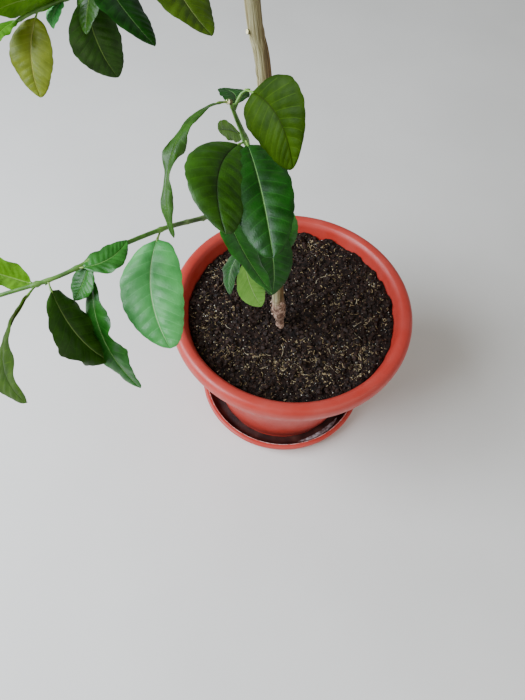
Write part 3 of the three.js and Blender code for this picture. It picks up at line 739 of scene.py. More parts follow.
# The crown's shoots, with each value for the lowest and for the highest of them
CROWN_COUNT = 8
CROWN_ROOTS = (885, 1120)
CROWN_PITCH = (26, 56)
CROWN_BOUGH = (150, 95)
CROWN_STEM = (150, 125)
CROWN_FIRST_HEADING = -35
CROWN_LIFT = 14
CROWN_REACH = 165
CROWN_RADII = (4.2, 1.5)
LEADER_LENGTH, LEADER_CENTRE = 230, 0.65

# Shoots listed one by one, as in the source. A leaf is (stem 0 or twig 1.., place on it, heading, pitch,
# roll, length, width, bend, bow), then its look: tint, curl in degrees, wave and tear in millimetres,
# and the skew and bluntness of its outline.
SHOOTS = [
    dict(
        name="low",
        path=[(-47, -18, 530), (-64, -56, 600), (-83, -91, 687), (-91, -100, 716), (-97, -108, 740)],
        bough=0.16, radius=4.2, tip=1.6, centre=(-85, -120, 615), reach=190,
        twigs=[
            [(-60, -46, 583), (-68, -75, 575), (-78, -92, 548), (-84, -95, 520)],
            [(-73, -74, 638), (-88, -92, 632), (-103, -109, 620)],
            [(-94, -104, 728), (-88, -101, 741), (-83, -101, 746)],
        ],
        leaves=[
            (0, 0.51, -84, 11, 14, 138, 58, 40, -4, "deep", 34, 1.4, 0, 0.95, 0.5),
            (3, 1.00, -74, -12, 58, 82, 63, 37, -17, "shaded", 30, 0.8, 0, 0.7, 0.55),
            (0, 0.49, -94, 14, -17, 119, 63, 33, 19, "backlit", 36, 1.4, 0, 0.85, 0.5),
            (0, 0.53, 116, -31, -104, 73, 24, -10, 3, "shaded", 20, 1.0, 0, 0.85, 0.6),
            (0, 0.92, 103, -7, 4, 52, 28, 19, 8, "deep", 20, 0.8, 0, 0.9, 0.6),
            (0, 0.99, -137, 27, 27, 153, 17, 111, 2, "leafy", 40, 3.6, 1.5, 0.8, 0.4),
            (2, 1.00, -59, 0, -28, 114, 38, 24, 16, "mid", 24, 1.6, 0, 0.8, 0.7),
            (1, 0.32, -72, -55, 18, 115, 50, 20, -9, "deep", 30, 1.2, 0, 0.85, 0.6),
            (1, 0.80, -121, -27, 43, 61, 41, 20, 12, "deep", 24, 1.0, 0, 0.85, 0.6),
            (1, 1.00, -48, -60, 6, 78, 42, 5, 5, "newest", 10, 0.8, 0, 0.85, 0.7),
            (1, 0.05, -55, -52, 43, 82, 45, 20, -6, "mid", 24, 1.0, 0, 0.85, 0.6),
        ],
    ),
    dict(
        name="side",
        path=[
            (-44, -19, 500), (-76, -62, 564), (-106, -104, 602), (-134, -130, 618), (-164, -157, 633),
            (-205, -197, 648), (-250, -228, 646), (-306, -248, 640), (-345, -258, 628),
        ],
        bough=0.47, radius=3.0, tip=1.7, centre=(-254, -182, 554), reach=215,
        twigs=[],
        leaves=[
            (0, 0.505, -86, -10, 9, 120, 64, 26, 13, "fresh", 34, 1.2, 0, 0.9, 0.5),
            (0, 0.67, -85, -27, 42, 131, 41, 41, 12, "mid", 26, 3.2, 3, 1.3, 0.62),
            (0, 0.77, -34, -39, -28, 95, 56, 24, 18, "leafy", 30, 3.2, 1.2, 0.9, 0.6),
            (0, 0.71, 38, 12, -4, 53, 33, 20, 12, "mid", 24, 1.0, 0, 0.85, 0.7),
            (0, 0.68, -125, -31, 9, 40, 29, 20, -4, "mid", 24, 0.8, 0, 0.85, 0.7),
            (0, 0.79, -107, 23, 66, 134, 46, 60, 20, "shaded", 28, 1.8, 0, 0.9, 0.7),
            (0, 0.79, 164, 23, 98, 56, 42, 20, 5, "young", 20, 1.0, 0, 0.85, 0.7),
            (0, 0.88, -130, -14, 10, 104, 54, 30, 6, "young", 28, 1.4, 0, 0.85, 0.65),
            (0, 0.925, 105, -6, -10, 92, 48, 30, -6, "mid", 28, 1.4, 0, 0.85, 0.65),
            (0, 1.00, -165, -12, 12, 98, 50, 30, 4, "fresh", 28, 1.4, 0, 0.85, 0.65),
        ],
    ),
    dict(
        name="left",
        path=[
            (-87, -4, 860), (-140, 45, 868), (-195, 105, 820), (-236, 150, 745),
            (-263, 141, 708), (-323, 102, 697), (-365, 75, 684),
        ],
        bough=0.33, radius=4.6, tip=1.6, centre=(-270, 110, 730), reach=210,
        twigs=[[(-207, 120, 797), (-190, 150, 765), (-175, 162, 738)]],
        leaves=[
            (1, 1.00, -56, -18, -9, 111, 65, 14, 13, "olive", 26, 1.2, 0, 0.9, 0.7),
            (0, 0.59, -48, -14, -16, 109, 58, 16, 10, "deep", 30, 1.2, 0, 0.8, 0.7),
            (0, 0.68, -51, -52, -3, 96, 67, 25, 12, "leafy", 30, 1.0, 0, 0.9, 0.65),
            (0, 0.57, -112, -28, 21, 76, 43, 20, 3, "leafy", 26, 1.0, 0, 0.85, 0.65),
            (0, 0.74, -120, -22, 16, 36, 28, 20, 7, "fresh", 24, 0.8, 0, 0.85, 0.7),
            (0, 0.81, -101, -45, -7, 91, 51, 22, 8, "golden", 30, 1.2, 0, 0.9, 0.65),
            (0, 0.73, -146, 13, 65, 92, 54, 20, -4, "young", 20, 1.2, 0, 0.85, 0.7),
            (0, 0.87, -123, 0, 13, 52, 34, 20, 6, "young", 24, 1.0, 0, 0.85, 0.7),
            (0, 1.00, -160, -40, 0, 95, 50, 25, 4, "mid", 26, 1.4, 0, 0.85, 0.7),
            (0, 0.43, -170, 0, 10, 100, 54, 35, -6, "mid", 28, 1.4, 0, 0.85, 0.7),
            (0, 0.50, 150, -10, -8, 92, 50, 30, 5, "mid", 28, 1.4, 0, 0.85, 0.7),
            (0, 0.62, 165, -15, 8, 96, 52, 30, -5, "fresh", 28, 1.4, 0, 0.85, 0.7),
        ],
    ),
]


def dice(seed):
    """The source's repeatable chance: the same seed always gives the same numbers from 0 to 1."""
    state = seed

    def roll():
        nonlocal state
        state = (state + 0x6D2B79F5) & WORD
        mixed = (state ^ state >> 15) * (1 | state) & WORD
        mixed = (mixed + ((mixed ^ mixed >> 7) * (61 | mixed) & WORD) & WORD) ^ mixed
        return (mixed ^ mixed >> 14) / (WORD + 1)
    return roll


def heading(degrees, pitch):
    """A direction from its turn round +Z and its rise, both in degrees."""
    turn, rise = math.radians(degrees), math.radians(pitch)
    return np.array([math.cos(turn) * math.cos(rise), math.sin(turn) * math.cos(rise), math.sin(rise)])


def to_angles(direction):
    """The turn and rise of a direction."""
    return math.degrees(math.atan2(direction[1], direction[0])), math.degrees(math.asin(direction[2]))


def stepped_path(root, degrees, pitch, length, turn, steps=5):
    """A path of even steps whose pitch turns evenly by turn degrees."""
    points = [np.array(root)]
    for i in range(steps):
        points.append(points[-1] + heading(degrees, pitch + turn * i / (steps - 1)) * length / steps)
    return points


def trunk_at(z):
    """The trunk's centre at a height."""
    low, high = 0.0, 1.0
    while high - low > 1e-6:
        middle = (low + high) / 2
        if trunk_path.at(middle)[2] < z:
            low = middle
        else:
            high = middle
    return trunk_path.at(low)


def crown_shoot(index):
    """A shoot of the crown by rule: they leave the trunk at even heights, turning round it, and
    stand up more and grow shorter toward its tip."""
    share = index / (CROWN_COUNT - 1)
    bough_length = lerp(*CROWN_BOUGH, share)
    length = bough_length + lerp(*CROWN_STEM, share)
    root = trunk_at(lerp(*CROWN_ROOTS, share))
    degrees = CROWN_FIRST_HEADING + TURN * index
    path = stepped_path(root, degrees, lerp(*CROWN_PITCH, share), length, CROWN_LIFT)
    bough = bough_length / length
    return dict(name=f"crown_{index + 1}", path=path, bough=bough, centre=Path(path).at((1 + bough) / 2),
                reach=CROWN_REACH, radius=CROWN_RADII[0], tip=CROWN_RADII[1], seed=11 + 7 * index)


def leader_shoot():
    """The last shoot, straight on from the trunk's tip."""
    path = stepped_path(trunk_path.at(1), *to_angles(trunk_path.ahead(1)), LEADER_LENGTH, 0)
    return dict(name="top", path=path, bough=0.0, centre=Path(path).at(LEADER_CENTRE), reach=CROWN_REACH,
                radius=TRUNK_TIP, tip=CROWN_RADII[1], seed=97)


shoots = [SimpleNamespace(**{"seed": 0, **shoot}) for shoot in
          [*SHOOTS, *(crown_shoot(i) for i in range(CROWN_COUNT)), leader_shoot()]]
for shoot in shoots:
    shoot.curve = Path(shoot.path)
shoot_centres = np.array([shoot.centre for shoot in shoots], float)
shoot_reaches = np.array([shoot.reach for shoot in shoots], float)


def shoot_radius(shoot, f):
    """A shoot's radius, f along it from 0 to 1."""
    return lerp(shoot.radius, shoot.tip, f)


# Boughs
# The woody first stretch of each shoot, grown out of the trunk with a thickened collar. The bark is
# thin, grey-green and dull, with small swellings where leaves once stood.

COLLAR_SWELL, COLLAR_SHARE = 0.45, 0.2
NODE_SPACING = 26
RING_SPACING = 2.2
PAST_BOUGH = 1.015
BOUGH_SIDES = 16
# A leaf's old place is a bump, with its height, length and width in radians, and a faint swelling
# all round, with its height and length
SCAR_BUMP, SCAR_SWELL = (0.9, 2.6, 0.8), (0.25, 4)
BOUGH_WAVES, BOUGH_WAVE = 6, 0.06


def bough_mesh(shoot, seed):
    """A bough from inside the trunk to just past the foot of its mass."""
    length = shoot.curve.length() * shoot.bough
    f = np.linspace(0, shoot.bough * PAST_BOUGH, int(length / RING_SPACING))
    along = (f / shoot.bough * length)[:, None]
    collar = 1 + COLLAR_SWELL * np.exp(-((f / shoot.bough / COLLAR_SHARE) ** 2))
    angle = 2 * np.pi * np.arange(BOUGH_SIDES) / BOUGH_SIDES
    chance = np.random.default_rng(seed)
    radii = (shoot_radius(shoot, f) * collar)[:, None] * np.ones(BOUGH_SIDES)
    height, reach, width = SCAR_BUMP
    for n in range(1, int(length / NODE_SPACING)):
        past = along - (n * NODE_SPACING + chance.uniform(-4, 4))
        radii += height * np.exp(-(past / reach) ** 2 - (turned_away(angle, TURN * n) / width) ** 2)
        radii += SCAR_SWELL[0] * np.exp(-(past / SCAR_SWELL[1]) ** 2)
    for _ in range(BOUGH_WAVES):
        turns, offset, pace = chance.integers(2, 7), chance.uniform(0, 6.28), chance.uniform(8, 30)
        radii += BOUGH_WAVE * np.sin(turns * angle + offset + np.sin(along / pace))
    return tube(shoot.curve.line(0, f[-1], len(f)), radii, BOUGH_SIDES)


def shoot_bark(name, shades, streak, roughness):
    """The skin of a young citrus shoot: smooth, a little waxy, mottled and streaked with paler cork."""
    finish = new_finish(name, roughness)
    mottle(finish, streak, 6, list(zip((0.34, 0.52, 0.7), shades)))
    roughen(finish, finish.place, 1.1, 4, 0.25, 0.6)
    return finish.material


wooded = [shoot for shoot in shoots if shoot.bough > 0]
boughs = make_piece("boughs", *join([bough_mesh(shoot, 50 + i) for i, shoot in enumerate(wooded)]), [
    shoot_bark("grey-green bough bark", ("#3C4E26", "#526A34", "#7C8A58"), 8, 0.6)], crease=70)
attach(boughs, "root")
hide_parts(*[f"bough_{shoot.name}" for shoot in wooded])


# Growth of the foliage
# Twigs and leaves leave the stems by the source's rule, and each mass keeps to its own ball and its
# own side of the plane that parts it from each other mass. Finer twigs then fill what room is left.

STALK = 0.09
STALK_HALF = 1.4
FOLD = math.radians(14)
CLEAR_LIMB, CLEAR_LISTED, CLEAR_LEAF, CLEAR_SPACE = 9, 1.5, 7, 1
# The crown's underside, as its height on the axis and its rise along x and y
UNDERSIDE = (785, 0.03, -0.499)
BEADS, BEADED_SHARE = 60, 0.94
TWIG_COUNT, TWIG_FIRST, TWIG_LAST = 4, 0.16, 0.84
TWIG_LONG, TWIG_SHORT, TWIG_SPREAD, TWIG_SCATTER, TWIG_DROOP = 92, 54, 50, 40, -24
LEAF_LONG, LEAF_SHORT, LEAF_SLENDER, LEAF_FIRST, LEAF_SPACING = 120, 88, 0.54, 12, 22
LEAF_SPREAD, LEAF_TIP_SPREAD, LEAF_SCATTER, LEAF_ROLL, LEAF_STEEPEST = 56, 12, 50, 36, -72
# Degrees that a leaf sags and bends at least, with how much more it may, and its sideways bow
LEAF_SAG, LEAF_BEND, LEAF_BOW = (14, 34), (18, 34), 0.14
LEAF_TRIES, FINE_TRIES, RETRY_TURN = 9, 6, 61
FINE_TWIGS_PER_STEM = 4
FINE_LENGTHS, FINE_SPREAD, FINE_DROOP = (34, 56), 48, -20
FINE_CLEAR_LEAF, FINE_CLEAR_LIMB = 5, 4
# Places on a fine twig with the lengths of their leaves
FINE_LEAVES = ((0.45, 58), (0.74, 54), (1.0, 50))
LOOK = ("tint", "curl", "wave", "tear", "skew", "blunt")
# Tints of the crown's twigs in turn, and the share of leaves that don't follow their twig
SPRAY_TINTS = ("deep", "leafy", "mid", "deep", "olive", "leafy", "fresh", "deep", "mid", "young")
STRAY_SHARE = 0.3
GRID_T, GRID_U = np.meshgrid(np.arange(2, 11) / 10, np.linspace(-1, 1, 5), indexing="ij")


def leaf_frame(leaf, t):
    """Centre, upward normal and side of a leaf's midrib, t along it from 0 to 1."""
    start = heading(leaf.heading, leaf.pitch)
    level = np.cross(heading(leaf.heading, 0), UP)
    roll = math.radians(leaf.roll)
    face = np.cross(level, start) * math.cos(roll) + level * math.sin(roll)
    side = np.cross(start, face)
    bend = math.radians(max(leaf.bend, 1))
    t = np.asarray(t, float)[..., None]
    angle = bend * t
    centre = leaf.base + start * (leaf.length * np.sin(angle) / bend)
    centre = centre - face * (leaf.length * (1 - np.cos(angle)) / bend) + side * (leaf.bow * 4 * t * (1 - t))
    return centre, face * np.cos(angle) + start * np.sin(angle), side


def half_width(leaf, t, skew=0.85, blunt=0.8):
    """Half the blade's width: none on the stalk, widest about the middle, then a blunt point."""
    s = np.clip((np.asarray(t, float) - STALK) / (1 - STALK), 0, 1)
    return leaf.width / 2 * np.sin(np.pi * s ** skew) ** blunt


def leaf_grid(leaf):
    """Points over the blade, for the tests of clearance."""
    centre, normal, side = leaf_frame(leaf, GRID_T)
    half = np.maximum(half_width(leaf, GRID_T), STALK_HALF)[..., None]
    u = GRID_U[..., None]
    points = centre + side * u * half * math.cos(FOLD) + normal * np.abs(u) * half * math.sin(FOLD)
    return points.reshape(-1, 3)


def squared_gaps(points, others):
    """Squares of the distances from each point to each of the others."""
    points, others = np.atleast_2d(points), np.atleast_2d(others)
    return (points ** 2).sum(1)[:, None] + (others ** 2).sum(1) - 2 * points @ others.T


def in_space(points, shoot):
    """Whether all the points are in a shoot's own space, and above the crown's underside."""
    points = np.atleast_2d(points)
    theirs = squared_gaps(points, shoot_centres) - shoot_reaches ** 2
    own = squared_gaps(points, shoot.centre)[:, 0] - shoot.reach ** 2
    floor = UNDERSIDE[0] + UNDERSIDE[1] * points[:, 0] + UNDERSIDE[2] * points[:, 1]
    if (own > 0).any() or (shoot.seed and (points[:, 2] < floor).any()):
        return False
    apart = np.linalg.norm(shoot_centres - shoot.centre, axis=1)
    others = apart > 0
    return bool(((theirs[:, others] - own[:, None]) / (2 * apart[others]) > CLEAR_SPACE).all())


# Beads strung along the trunk and the boughs, for the tests of clearance
trunk_beads = trunk_path.line(0, 1, BEADS + 1)
bead_centres = np.vstack([trunk_beads] + [
    shoot.curve.line(0, shoot.bough * BEADED_SHARE, BEADS + 1) for shoot in shoots])
bead_radii = np.concatenate([trunk_radius(trunk_beads[:, 2])] + [
    shoot_radius(shoot, np.linspace(0, shoot.bough * BEADED_SHARE, BEADS + 1)) for shoot in shoots])


def clear_of_limbs(points, clearance=CLEAR_LIMB):
    """Whether all the points are clear of the trunk and the boughs."""
    return bool((squared_gaps(points, bead_centres) > (bead_radii + clearance) ** 2).all())


def branch_off(curve, f, spread, turn):
    """A direction that leaves a stem at an angle, turned round it."""
    ahead = curve.ahead(f)
    side = across(ahead)
    other = np.cross(side, ahead)
    out = side * math.cos(math.radians(turn)) + other * math.sin(math.radians(turn))
    return ahead * math.cos(math.radians(spread)) + out * math.sin(math.radians(spread))


def seeded_twigs(shoot, roll):
    """The source's twigs of a mass, those that keep to their space."""
    twigs = []
    for i in range(TWIG_COUNT):
        share = i / (TWIG_COUNT - 1)
        f = lerp(shoot.bough, 1, lerp(TWIG_FIRST, TWIG_LAST, share))
        length = lerp(TWIG_LONG, TWIG_SHORT, share) * (0.85 + 0.3 * roll())
        angles = to_angles(branch_off(shoot.curve, f, TWIG_SPREAD, TURN * i + TWIG_SCATTER * roll()))
        curve = Path(stepped_path(shoot.curve.at(f), *angles, length, TWIG_DROOP, 3))
        fits = in_space([curve.at(t) for t in (0.4, 0.7, 1)], shoot)
        if fits and clear_of_limbs([curve.at(0.6), curve.at(1)]):
            twigs.append(curve)
    return twigs


def seeded_leaf(curve, f, turn, size, roll):
    """One leaf on a stem: it leaves the stem at an angle, sags and is turned about its midrib."""
    spread = LEAF_SPREAD if f < 1 else LEAF_TIP_SPREAD
    degrees, pitch = to_angles(branch_off(curve, f, spread, turn + LEAF_SCATTER * (roll() - 0.5)))
    sag = (LEAF_SAG[0] + LEAF_SAG[1] * roll()) * math.cos(math.radians(pitch))
    length = size * (0.92 + 0.16 * roll())
    rolled = LEAF_ROLL * (roll() - 0.5)
    width = length * LEAF_SLENDER * (0.9 + 0.2 * roll())
    bend = LEAF_BEND[0] + LEAF_BEND[1] * roll()
    bow = length * LEAF_BOW * (roll() - 0.5)
    return SimpleNamespace(base=curve.at(f), heading=degrees, pitch=max(pitch - sag, LEAF_STEEPEST),
                           roll=rolled, length=length, width=width, bend=bend, bow=bow, place=f)


def fits_in(grid, shoot, grids):
    """Whether a leaf is clear of the limbs and of its mass's other leaves, and in its own space."""
    if grids and (squared_gaps(np.concatenate(grids), grid) < CLEAR_LEAF ** 2).any():
        return False
    return clear_of_limbs(grid) and in_space(grid, shoot)


def try_leaf(curve, place, turn, tries, size_at, shoot, grids, roll):
    """A leaf turned round its stem until it fits among the others, or none."""
    for attempt in range(tries):
        leaf = seeded_leaf(curve, place, turn + RETRY_TURN * attempt, size_at(), roll)
        grid = leaf_grid(leaf)
        if fits_in(grid, shoot, grids):
            grids.append(grid)
            return leaf
    return None


def seeded_leaves(shoot, stems, roll):
    """The source's leaves of a mass, along every stem and one at its tip."""
    leaves, grids = [], []
    for index, curve in enumerate(stems):
        start = shoot.bough if index == 0 else 0
        run = curve.length() * (1 - start)
        count = math.floor((run - LEAF_FIRST) / LEAF_SPACING) + 1
        for i in range(count + 1):
            place = 1 if i == count else lerp(start, 1, (LEAF_FIRST + LEAF_SPACING * i) / run)
            if place > 1:
                continue
            size = lerp(LEAF_LONG, LEAF_SHORT, i / count)
            leaf = try_leaf(curve, place, TURN * i, LEAF_TRIES, lambda: size, shoot, grids, roll)
            if leaf:
                leaf.stem = index
                leaves.append(leaf)
    return leaves, grids


def fine_growth(shoot, stems, grids, chance):
    """Finer twigs with small leaves, on every stem and twig of a mass, where there is room."""
    twigs, leaves = [], []
    for index, curve in enumerate(stems):
        start = shoot.bough if index == 0 else 0
        for n in range(FINE_TWIGS_PER_STEM):
            f = start + (1 - start) * (n + 0.4 + 0.4 * chance.uniform()) / FINE_TWIGS_PER_STEM
            angles = to_angles(branch_off(curve, f, FINE_SPREAD, 360 * chance.uniform()))
            length = chance.uniform(*FINE_LENGTHS)
            twig = Path(stepped_path(curve.at(f), *angles, length, FINE_DROOP, 3))
            line = twig.line(0.3, 1, 6)
            crowded = (squared_gaps(np.concatenate(grids), line) < FINE_CLEAR_LEAF ** 2).any()
            if crowded or not in_space(line, shoot) or not clear_of_limbs(line, FINE_CLEAR_LIMB):
                continue
            grown = []
            for k, (place, size) in enumerate(FINE_LEAVES):
                leaf = try_leaf(twig, place, TURN * k, FINE_TRIES, lambda: size * chance.uniform(0.85, 1.2),
                                shoot, grids, chance.uniform)
                if leaf:
                    leaf.stem = len(stems) + len(twigs)
                    grown.append(leaf)
            if grown:
                twigs.append(twig)
                leaves += grown
    return twigs, leaves


def listed_leaves(shoot, stems):
    """The leaves listed for a shoot, those that keep to its space."""
    leaves = []
    for stem, place, degrees, pitch, roll, length, width, bend, bow, *look in shoot.leaves:
        leaf = SimpleNamespace(
            base=stems[stem].at(place), heading=degrees, pitch=pitch, roll=roll, length=length, width=width,
            bend=bend, bow=bow, place=place, stem=stem, **dict(zip(LOOK, look)))
        grid = leaf_grid(leaf)
        if clear_of_limbs(grid, CLEAR_LISTED) and in_space(grid, shoot):
            leaves.append(leaf)
    return leaves


def grow(shoot):
    """Everything that grows on a shoot past its bough."""
    if not shoot.seed:
        shoot.twigs = [Path(points) for points in shoot.twigs]
        shoot.leaves = listed_leaves(shoot, [shoot.curve, *shoot.twigs])
        shoot.fine_twigs = []
        return
    roll = dice(shoot.seed)
    chance = np.random.default_rng(700 + shoot.seed)
    shoot.twigs = seeded_twigs(shoot, roll)
    stems = [shoot.curve, *shoot.twigs]
    shoot.leaves, grids = seeded_leaves(shoot, stems, roll)
    shoot.fine_twigs, fine_leaves = fine_growth(shoot, stems, grids, chance)
    shoot.leaves += fine_leaves
    for leaf in shoot.leaves:
        stray = chance.uniform() < STRAY_SHARE
        spray = chance.integers(len(SPRAY_TINTS)) if stray else shoot.seed + 3 * leaf.stem
        leaf.tint = SPRAY_TINTS[spray % len(SPRAY_TINTS)]
        leaf.curl, leaf.wave, leaf.tear = chance.uniform(16, 36), chance.uniform(0.6, 1.8), 0
        leaf.skew, leaf.blunt = chance.uniform(0.8, 0.95), chance.uniform(0.55, 0.75)


for shoot in shoots:
    grow(shoot)


# Twigs
# Green young stems and twigs, with a leaf stalk, a bud and sometimes a short thorn at each node. The
# paler stalks end in a thick joint at the blade, where the leaf will one day break off.

STEM_SIDES, TWIG_SIDES, STALK_SIDES = 12, 9, 7
THORN_SHARE = 0.16
TWIG_RADII, FINE_RADII = (1.9, 1.1), (1.35, 0.9)
STEM_FIT = 0.98
STEM_RING_SPACING, STEM_END = 3.2, 0.55
# A node's swelling: its share of the radius, its length and how far past the leaf's place it lies
NODE_SWELL, NODE_LENGTH, NODE_AHEAD = 0.32, 2.4, 0.5
STALK_START, STALK_END = -0.012, STALK * 1.25
STALK_RADII = np.array([1.6, 1.45, 1.1, 0.95, 0.95, 1.05, 1.35, 1.3, 0.7])
# Places along a bud, in millimetres, and along a thorn, in shares of its length, and the radii there
BUD_STEPS, BUD_RADII = (-0.6, 0.6, 1.8, 2.9, 3.5), (0.9, 1.25, 1.1, 0.6, 0.15)
THORN_STEPS, THORN_RADII, THORN_LENGTHS = (-0.1, 0.3, 0.65, 1), (0.85, 0.6, 0.35, 0.08), (6, 13)
TWIG_GROUPS = {
    "twigs_shoots": ("low", "side", "left"),
    "twigs_crown_lower": ("crown_1", "crown_2", "crown_3", "crown_4"),
    "twigs_crown_upper": ("crown_5", "crown_6", "crown_7", "crown_8", "top"),
}


def stem_mesh(curve, start, root_and_tip, sides, nodes):
    """A stem or twig with a slight swelling at each of its nodes."""
    length = curve.length() * (1 - start)
    count = max(int(length / STEM_RING_SPACING), 6)
    f = np.linspace(start, 1, count)
    radii = lerp(*root_and_tip, f)
    for node in nodes:
        past = (f - node) / (1 - start) * length - NODE_AHEAD
        radii = radii + NODE_SWELL * radii * np.exp(-(past / NODE_LENGTH) ** 2)
    radii[-1] *= STEM_END
    return tube(curve.line(start, 1, count), radii, sides)


def stalk_mesh(leaf):
    """A leaf's stalk, from inside its stem to inside its blade, thicker at both ends and thinner
    under a small leaf."""
    centre, _, _ = leaf_frame(leaf, np.linspace(STALK_START, STALK_END, len(STALK_RADII)))
    return tube(centre, STALK_RADII * min(1, 0.55 + leaf.length / 240), STALK_SIDES)


def bud_mesh(leaf, curve, chance):
    """The small bud in a leaf's axil, or now and then a straight thorn."""
    ahead = curve.ahead(leaf.place)
    out = leaf_frame(leaf, 0)[2] if leaf.place == 1 else heading(leaf.heading, leaf.pitch)
    way = ahead * 0.8 + out * 0.6
    way /= np.linalg.norm(way)
    root = leaf.base + out * 1.2 + ahead * 1.6
    if chance.uniform() < THORN_SHARE:
        length = chance.uniform(*THORN_LENGTHS)
        return tube([root + way * length * s for s in THORN_STEPS], THORN_RADII, 6)
    return tube([root + way * s for s in BUD_STEPS], BUD_RADII, 6)


def twig_parts(shoot, chance):
    """Meshes of a mass's stems, stalks and buds, each with the place of its finish."""
    radii = (STEM_FIT * shoot.radius, STEM_FIT * shoot.tip)
    kinds = [(shoot.curve, shoot.bough, radii, STEM_SIDES)]
    kinds += [(curve, 0, TWIG_RADII, TWIG_SIDES) for curve in shoot.twigs]
    kinds += [(curve, 0, FINE_RADII, STALK_SIDES) for curve in shoot.fine_twigs]
    parts = []
    for index, (curve, start, radii, sides) in enumerate(kinds):
        nodes = [leaf.place for leaf in shoot.leaves if leaf.stem == index]
        parts.append((stem_mesh(curve, start, radii, sides, nodes), 0))
    for leaf in shoot.leaves:
        parts.append((stalk_mesh(leaf), 1))
        parts.append((bud_mesh(leaf, kinds[leaf.stem][0], chance), 0))
    return parts


green_skin = shoot_bark("green shoot skin", ("#3C611F", "#4F7A2A", "#6C9440"), 14, 0.45)
stalk_skin = shoot_bark("pale green stalk skin", ("#4B7A24", "#6E9436", "#97AE5A"), 6, 0.45)
for name, members in TWIG_GROUPS.items():
    chance = np.random.default_rng(len(name))
    parts = [part for shoot in shoots if shoot.name in members for part in twig_parts(shoot, chance)]
    face_finish = [finish for (_, faces), finish in parts for _ in faces]
    twigs = make_piece(name, *join([mesh for mesh, _ in parts]), [green_skin, stalk_skin], face_finish, 75)
    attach(twigs, "root")
    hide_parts(*[f"foliage_{member}" for member in members])


# Pruning cuts
# Two small shoots were cut off, one on the trunk and one at the low shoot's tip. What is left is a
# short stub that ends in pale dry wood.

# Root, direction, length and radius of each stub, and its outline along and across
STUBS = [
    ((-72.4, -8.9, 745), (-0.86, -0.45, 0.25), 11.5, 2.3),
    ((-96.6, -107.6, 739), (-0.5, -0.75, 0.6), 4.6, 2.2),
]
STUB_STEPS, STUB_WIDTHS = (0, 0.5, 0.82, 0.97, 1, 0.98, 0.9), (1, 0.92, 1, 1.08, 0.94, 0.6, 0.1)
STUB_SIDES = 14


def stub_mesh(root, way, length, radius):
    """A stub, slightly flared at its cut, which is a little hollow."""
    way = np.array(way) / np.linalg.norm(way)
    return tube([root + way * length * s for s in STUB_STEPS], np.array(STUB_WIDTHS) * radius, STUB_SIDES)


def cut_wood():
    """A cut gone dry: matt, cream to straw, finely mottled."""
    finish = new_finish("dry cut wood", 0.8)
    mottle(finish, 1.2, 3, [(0.35, "#C9B67C"), (0.65, "#EFE6BE")])
    roughen(finish, finish.place, 1.2, 3, 0.15)
    return finish.material


stub_points, stub_faces = join([stub_mesh(*stub) for stub in STUBS])
cut_faces = ([0] * 4 * STUB_SIDES + [1] * 2 * STUB_SIDES + [0, 1]) * len(STUBS)
stubs = make_piece("pruned_stubs", stub_points, stub_faces, [
    shoot_bark("brown bark of a stub", ("#4A4426", "#6A6238", "#8A8258"), 3, 0.7), cut_wood()], cut_faces)
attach(stubs, "root")
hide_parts("trunk")


# Leaves
# Leathery glossy blades on short stalks, folded a little along a pale midrib and puffed up between
# the side veins, with rolled, faintly scalloped margins. They are dark above and paler beneath.

BLADE_THICKNESS = 0.42
VEIN_LEAD = 0.6
# The scallops of the margin as a share of half the width, the puffs between the veins as a share of
# the width, the waves along a margin, and the midrib's groove above and keel below in millimetres
SCALLOP, PUFF = 0.03, 0.014
TEAR_WAVES, MARGIN_WAVES = (18, 28, 46), (14, 23)
GROOVE, KEEL = 0.3, 0.8
OVER, RIB, VEIN, UNDER = range(4)
# Colours of each kind of leaf on its upper face, midrib, side veins and under face, and the upper
# face's roughness and index of refraction, which is set low on some tints to take their shine away.
# Most kinds are ages of leaf, but backlit and shaded are painted shade: backlit is leafy with a
# midrib painted dark, and shaded is a darker, duller olive. A midrib is paler than the blade, but
# painted darker where a leaf hangs against the light.
LEAF_TINTS = {
    "deep": (("#0C3006", "#17460C"), "#648A4C", "#1D5212", ("#3C6B2A", "#4B7A36"), 0.4, 1.28),
    "mid": (("#1C5012", "#2A681E"), "#78A058", "#306E24", ("#46782F", "#56883E"), 0.38, 1.34),
    "leafy": (("#203E06", "#2E540E"), "#708E44", "#345C12", ("#4E7828", "#5E8834"), 0.4, 1.34),
    # Painted shade: leafy's colours with a midrib painted dark, as on a leaf hanging against the light
    "backlit": (("#203E06", "#2E540E"), "#1E3208", "#345C12", ("#4E7828", "#5E8834"), 0.42, 1.3),
    # A bright young green with a painted bluish sheen mixed into its colours
    "fresh": (("#3A8A3E", "#4A9E4E"), "#9CC68E", "#56A658", ("#62984E", "#74A85E"), 0.44, 1.46),
    "olive": (("#344A06", "#445E0A"), "#74823C", "#48620E", ("#5E7A2A", "#708A36"), 0.5, 1.32),
    # Painted shade: a darker, duller olive for leaves turned away from the light
    "shaded": (("#1F3403", "#2E4606"), "#26360A", "#384F0A", ("#4C6426", "#5C7230"), 0.55, 1.14),
    "golden": (("#626E12", "#78841C"), "#A8A858", "#7C8824", ("#7A862E", "#8E963E"), 0.46, 1.34),
    "young": (("#35640A", "#487A10"), "#7EA448", "#4C8014", ("#4E8010", "#609218"), 0.46, 1.16),
    "newest": (("#74B444", "#88C654"), "#BEDE9C", "#8ECC5C", ("#7CB44A", "#8CC45C"), 0.4, 1.34),
}
